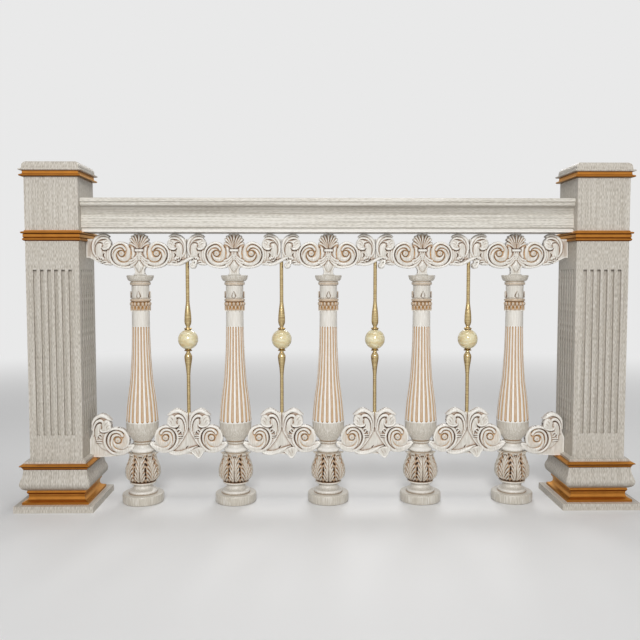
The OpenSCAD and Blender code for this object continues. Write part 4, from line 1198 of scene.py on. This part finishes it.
def gold_leaf(finish):
    """Gold leaf burnished over red-brown bole: a warm metal, faintly patchy over 30 mm, rough from the
    brush with marks of 3 mm. The undersides turn to the bole's dark colour as painted shade, a dark line
    under each member."""
    tree = new_material("gold_leaf")
    place = add_node(tree, "ShaderNodeTexCoord").outputs["Object"]
    patches = add_node(tree, "ShaderNodeTexNoise", i0=place, Scale=1 / (30 * MM), Detail=5.0, Roughness=0.6)
    colour = add_node(tree, "ShaderNodeValToRGB", i0=patches.outputs[0], stops=(
        (0.35, mix_colours(finish.gold, finish.gold_deep, 0.2)), (0.6, finish.gold)))
    upright = add_node(tree, "ShaderNodeTexCoord").outputs["Normal"]
    upright = add_node(tree, "ShaderNodeSeparateXYZ", i0=upright).outputs[2]
    # painted shade on the faces that turn down
    leaf_underside_shade = add_node(tree, "ShaderNodeMapRange", i0=upright, i1=-0.1, i2=-0.75)
    colour = add_node(tree, "ShaderNodeMix", {"data_type": "RGBA"}, i0=leaf_underside_shade.outputs[0], i6=colour.outputs[0],
                      i7=finish.gold_deep)
    marks = add_node(tree, "ShaderNodeTexNoise", i0=place, Scale=1 / (3 * MM), Detail=3.0)
    bump = add_node(tree, "ShaderNodeBump", Strength=0.6, Distance=0.12 * MM, Height=marks.outputs[0])
    shader = add_node(tree, "ShaderNodeBsdfPrincipled", Base_Color=colour.outputs[2], Metallic=0.8,
                      Roughness=0.28, Specular_Tint=finish.onyx_vein, Normal=bump.outputs[0])
    add_node(tree, "ShaderNodeOutputMaterial", Surface=shader.outputs[0])


def turned_brass(finish):
    """Brass turned and polished: a yellow metal with a sharp gloss, browner towards its edges, and turning
    lines.

    The real lines are finer than a tenth of a millimetre; they are drawn 2 mm apart, so that they show.
    """
    tree = new_material("turned_brass")
    place = add_node(tree, "ShaderNodeTexCoord").outputs["Object"]
    turned = add_node(tree, "ShaderNodeMapping", i0=place, Scale=(20, 20, 1 / (2 * MM)))
    lines = add_node(tree, "ShaderNodeTexNoise", i0=turned.outputs[0], Scale=1.0, Detail=2.0)
    colour = add_node(tree, "ShaderNodeValToRGB", i0=lines.outputs[0], stops=(
        (0.35, mix_colours(finish.brass, finish.gold_deep, 0.5)), (0.65, finish.brass)))
    bump = add_node(tree, "ShaderNodeBump", Strength=0.6, Distance=0.04 * MM, Height=lines.outputs[0])
    shader = add_node(tree, "ShaderNodeBsdfPrincipled", Base_Color=colour.outputs[0], Metallic=1.0,
                      Roughness=0.2, Specular_Tint=finish.gold_deep, Normal=bump.outputs[0])
    add_node(tree, "ShaderNodeOutputMaterial", Surface=shader.outputs[0])


def polished_onyx(finish):
    """Honey onyx, turned and polished: cloudy bands of 15 to 50 mm in a pale yellow stone that light enters
    a little."""
    tree = new_material("polished_onyx")
    place = add_node(tree, "ShaderNodeTexCoord").outputs["Object"]
    tilted = add_node(tree, "ShaderNodeMapping", i0=place, Rotation=(0.5, 0.3, 0), Scale=(20, 20, 64))
    clouds = add_node(tree, "ShaderNodeTexNoise", i0=tilted.outputs[0], Scale=1.0, Detail=6.0,
                      Roughness=0.65, Distortion=1.2)
    colour = add_node(tree, "ShaderNodeValToRGB", i0=clouds.outputs[0], stops=(
        (0.3, mix_colours(finish.onyx, finish.gold, 0.45)), (0.5, finish.onyx), (0.66, finish.onyx_vein)))
    shader = add_node(tree, "ShaderNodeBsdfPrincipled", Base_Color=colour.outputs[0], Roughness=0.12,
                      IOR=1.6, Coat_Weight=0.4, Subsurface_Weight=0.12,
                      Subsurface_Radius=(0.012, 0.009, 0.005))
    add_node(tree, "ShaderNodeOutputMaterial", Surface=shader.outputs[0])


def make_finishes(finish):
    """Every finish by its name, made once."""
    if "polished_onyx" not in bpy.data.materials:
        brushed_paint("brushed_post_paint", finish, finish.post, True, 0.4)
        brushed_paint("brushed_rail_paint", finish, finish.rail, False, 0.6)
        paint_with_glaze_and_painted_light("carving_glaze_and_painted_light", finish, finish.carving, (0.04, 0.78))
        paint_with_glaze_and_painted_light("turning_glaze_and_painted_light", finish, finish.turning, (0.05, 0.66))
        gold_leaf(finish)
        turned_brass(finish)
        polished_onyx(finish)
    return bpy.data.materials


# Operators


def baluster_x(sizes, k):
    """X of baluster k's axis in mm; half a number further on is the middle of the gap beside it."""
    return (k - (BALUSTERS + 1) / 2) * sizes.pitch / MM


class BALUSTRADE_OT_stage(bpy.types.Operator):
    """Adds the floor, the lamps, the world and the camera"""

    bl_idname = "balustrade.stage"
    bl_label = "Stage"

    def execute(self, context):
        scene = context.scene
        pale = scene.balustrade_finish.floor
        scene.view_settings.view_transform = "Standard"
        floor_mesh = bpy.data.meshes.new("floor")
        reach = 30
        corners = [(-reach, -reach, 0), (reach, -reach, 0), (reach, reach, 0), (-reach, reach, 0)]
        floor_mesh.from_pydata(corners, [], [(0, 1, 2, 3)])
        floor = bpy.data.objects.new("floor", floor_mesh)
        scene.collection.objects.link(floor)
        floor_mesh.materials.append(self.floor_finish(pale))
        self.light_world(scene, pale)
        # each lamp's name, place and aim in metres, its width, and its power in watts
        for name, place, aim, size, power in (
            ("key", (-0.1, -4.4, 2.5), (0, 0, 0.5), 1.2, 146),
            ("top", (0, -0.4, 3.6), (0, 0, 0), 1.6, 28),
            ("back", (0.6, 3.2, 3.2), (0, 0, 0.6), 1.4, 45),
        ):
            lamp = bpy.data.lights.new(name, "AREA")
            lamp.size = size
            lamp.energy = power
            holder = bpy.data.objects.new(name, lamp)
            holder.location = place
            way = [a - b for a, b in zip(aim, place)]
            holder.rotation_euler = (
                math.pi / 2 + math.atan2(way[2], math.hypot(way[0], way[1])), 0, -math.atan2(way[0], way[1])
            )
            scene.collection.objects.link(holder)
        self.place_camera(scene)
        return {"FINISHED"}

    def floor_finish(self, pale):
        """Satin floor; past a few metres the camera and reflections see the plain background in its place."""
        tree = new_material("studio_floor")
        near = add_node(tree, "ShaderNodeBsdfPrincipled", Base_Color=pale, Roughness=0.55)
        plain = add_node(tree, "ShaderNodeEmission", Color=pale, Strength=1.0)
        place = add_node(tree, "ShaderNodeTexCoord").outputs["Object"]
        away = add_node(tree, "ShaderNodeVectorMath", {"operation": "LENGTH"}, i0=place).outputs[1]
        far = add_node(tree, "ShaderNodeMapRange", {"interpolation_type": "SMOOTHSTEP"}, i0=away, i1=1.8,
                       i2=5.0)
        seen = self.seen_rays(tree)
        both = add_node(tree, "ShaderNodeMath", {"operation": "MULTIPLY"}, i0=far.outputs[0], i1=seen)
        blend = add_node(tree, "ShaderNodeMixShader", i0=both.outputs[0], i1=near.outputs[0],
                         i2=plain.outputs[0])
        add_node(tree, "ShaderNodeOutputMaterial", Surface=blend.outputs[0])
        return bpy.data.materials["studio_floor"]

    def seen_rays(self, tree):
        """One for camera, glossy and transmission rays, which show the background, and nought for the
        rest."""
        rays = add_node(tree, "ShaderNodeLightPath").outputs
        first = add_node(tree, "ShaderNodeMath", {"operation": "MAXIMUM"}, i0=rays["Is Camera Ray"],
                         i1=rays["Is Glossy Ray"])
        return add_node(tree, "ShaderNodeMath", {"operation": "MAXIMUM"}, i0=first.outputs[0],
                        i1=rays["Is Transmission Ray"]).outputs[0]

    def light_world(self, scene, pale):
        """Even white light, with the pale background shown to the camera and in reflections."""
        world = bpy.data.worlds.new("studio")
        scene.world = world
        world.use_nodes = True
        tree = world.node_tree
        tree.nodes.clear()
        light = add_node(tree, "ShaderNodeBackground", Color=WHITE, Strength=0.16)
        shown = add_node(tree, "ShaderNodeBackground", Color=pale, Strength=1.0)
        blend = add_node(tree, "ShaderNodeMixShader", i0=self.seen_rays(tree), i1=light.outputs[0],
                         i2=shown.outputs[0])
        add_node(tree, "ShaderNodeOutputWorld", Surface=blend.outputs[0])

    def place_camera(self, scene):
        """Eye height and turn that were fitted to the reference view's straight edges, through a 42 mm
        lens."""
        camera = bpy.data.cameras.new("camera")
        camera.sensor_width = 36
        camera.lens = 42.015
        holder = bpy.data.objects.new("camera", camera)
        holder.location = (-0.06506, -2.34337, 0.71989)
        holder.rotation_euler = (math.pi / 2 - 0.06155, 0.0002, -0.0166)
        scene.collection.objects.link(holder)
        scene.camera = holder


class BALUSTRADE_OT_friezes(bpy.types.Operator):
    """Carves the five scroll friezes between the balusters and the rail"""

    bl_idname = "balustrade.friezes"
    bl_label = "Scroll friezes"

    def execute(self, context):
        sizes = context.scene.balustrade_sizes
        finishes = make_finishes(context.scene.balustrade_finish)
        cell = sizes.carving_cell / MM
        end = sizes.end_gap / MM
        curl_reach, leaf_reach = 152, 172
        up = steps_between(0, 131, cell)
        for k in range(1, BALUSTERS + 1):
            first, last = k == 1, k == BALUSTERS
            low, high = -end if first else -curl_reach, end if last else leaf_reach
            relief = Relief(steps_between(low, high, cell), up)
            frieze(relief, first, last)
            points, faces, glaze_and_painted_light = panel_surface(relief, cell)
            # the plain end beside a newel gets more painted shade
            if first or last:
                outwards = points[:, 0] * (-1 if first else 1)
                glaze_and_painted_light[:, 0] += 0.34 * np.clip((outwards - 147) / 5, 0, 1)
            points += (baluster_x(sizes, k), 0, sizes.baluster_top / MM)
            piece = add_piece(f"carved_frieze_{k}", points, faces, finishes["carving_glaze_and_painted_light"],
                              glaze_and_painted_light)
            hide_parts(f"frieze_{k}")
        return {"FINISHED"}


class BALUSTRADE_OT_cartouches(bpy.types.Operator):
    """Carves the four scroll cartouches and the two half ones at the newels"""

    bl_idname = "balustrade.cartouches"
    bl_label = "Scroll cartouches"

    def execute(self, context):
        sizes = context.scene.balustrade_sizes
        finishes = make_finishes(context.scene.balustrade_finish)
        cell = sizes.carving_cell / MM
        up = steps_between(132, 306, cell)
        whole = Relief(steps_between(-130, 130, cell), up)
        cartouche(whole)
        half = Relief(steps_between(0, 145, cell), up)
        half_cartouche(half)
        end = baluster_x(sizes, BALUSTERS) + sizes.end_gap / MM
        pieces = [(f"carved_cartouche_{k}", f"cartouche_{k}", whole, baluster_x(sizes, k + 0.5), 1)
                  for k in range(1, BALUSTERS)]
        pieces += [("left_carved_half_cartouche", "left_half_cartouche", half, -end, 1),
                   ("right_carved_half_cartouche", "right_half_cartouche", half, end, -1)]
        for name, node, relief, x, hand in pieces:
            points, faces, glaze_and_painted_light = panel_surface(relief, cell)
            points *= (hand, 1, 1)
            points += (x, 0, 0)
            if hand < 0:
                faces = [group[:, ::-1] for group in faces]
            piece = add_piece(name, points, faces, finishes["carving_glaze_and_painted_light"], glaze_and_painted_light)
            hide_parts(node)
        return {"FINISHED"}


class BALUSTRADE_OT_balusters(bpy.types.Operator):
    """Turns and carves the five balusters"""

    bl_idname = "balustrade.balusters"
    bl_label = "Balusters"

    def execute(self, context):
        sizes = context.scene.balustrade_sizes
        finishes = make_finishes(context.scene.balustrade_finish)
        points, faces, glaze_and_painted_light = turned_baluster(sizes.flute_depth / MM)
        for k in range(1, BALUSTERS + 1):
            piece = add_piece(f"turned_baluster_{k}", points + (baluster_x(sizes, k), 0, 0), faces,
                              finishes["turning_glaze_and_painted_light"], glaze_and_painted_light)
            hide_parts(f"baluster_{k}")
        return {"FINISHED"}


class BALUSTRADE_OT_spindles(bpy.types.Operator):
    """Turns the four brass spindles and finishes their balls"""

    bl_idname = "balustrade.spindles"
    bl_label = "Spindles and balls"

    def execute(self, context):
        sizes = context.scene.balustrade_sizes
        finishes = make_finishes(context.scene.balustrade_finish)
        parts = [turned_profile(profile, 40)
                 for profile in spindle_profile(sizes.ball_height / MM, sizes.ball_radius / MM)]
        points, faces, _ = joined(parts)
        for k in range(1, BALUSTERS):
            piece = add_piece(f"brass_spindle_{k}", points + (baluster_x(sizes, k + 0.5), 0, 0), faces,
                              finishes["turned_brass"])
            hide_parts(f"spindle_{k}")
            dress(f"ball_{k}", finishes["polished_onyx"])
        return {"FINISHED"}


class BALUSTRADE_OT_newels(bpy.types.Operator):
    """Finishes the newels, their gilt mouldings and the handrail"""

    bl_idname = "balustrade.newels"
    bl_label = "Newels and handrail"

    def execute(self, context):
        finishes = make_finishes(context.scene.balustrade_finish)
        for side in ("left", "right"):
            for part in ("plinth", "pedestal", "cove", "newel_post", "cap"):
                dress(f"{side}_{part}", finishes["brushed_post_paint"])
            for part in ("gilt_base", "gilt_fillet", "gilt_band", "gilt_cornice"):
                dress(f"{side}_{part}", finishes["gold_leaf"])
        dress("handrail", finishes["brushed_rail_paint"])
        return {"FINISHED"}


def dress(node, material):
    """Gives a CAD node its finish and leaves its mesh as it is."""
    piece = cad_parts[node]
    for holder in piece.material_slots:
        holder.material = material


class BALUSTRADE_PT_panel(bpy.types.Panel):
    """Lists the balustrade's sizes, colours and pieces"""

    bl_label = "Balustrade"
    bl_idname = "BALUSTRADE_PT_panel"
    bl_space_type = "VIEW_3D"
    bl_region_type = "UI"
    bl_category = "Balustrade"

    def draw(self, context):
        for group in (context.scene.balustrade_sizes, context.scene.balustrade_finish):
            for name in group.__annotations__:
                self.layout.prop(group, name)
        for operator in OPERATORS:
            self.layout.operator(operator.bl_idname)


OPERATORS = (
    BALUSTRADE_OT_stage, BALUSTRADE_OT_newels, BALUSTRADE_OT_balusters, BALUSTRADE_OT_friezes,
    BALUSTRADE_OT_cartouches, BALUSTRADE_OT_spindles,
)
CLASSES = (BalustradeSizes, BalustradeFinish, *OPERATORS, BALUSTRADE_PT_panel)


def register():
    """Registers the classes, and gives the scene their sizes and colours."""
    for cls in CLASSES:
        bpy.utils.register_class(cls)
    bpy.types.Scene.balustrade_sizes = bpy.props.PointerProperty(type=BalustradeSizes)
    bpy.types.Scene.balustrade_finish = bpy.props.PointerProperty(type=BalustradeFinish)


def unregister():
    """Takes away what register adds."""
    del bpy.types.Scene.balustrade_finish
    del bpy.types.Scene.balustrade_sizes
    for cls in reversed(CLASSES):
        bpy.utils.unregister_class(cls)


def main():
    register()
    bpy.ops.balustrade.stage()
    bpy.ops.balustrade.newels()
    bpy.ops.balustrade.balusters()
    bpy.ops.balustrade.friezes()
    bpy.ops.balustrade.cartouches()
    bpy.ops.balustrade.spindles()


if __name__ == "__main__":
    main()
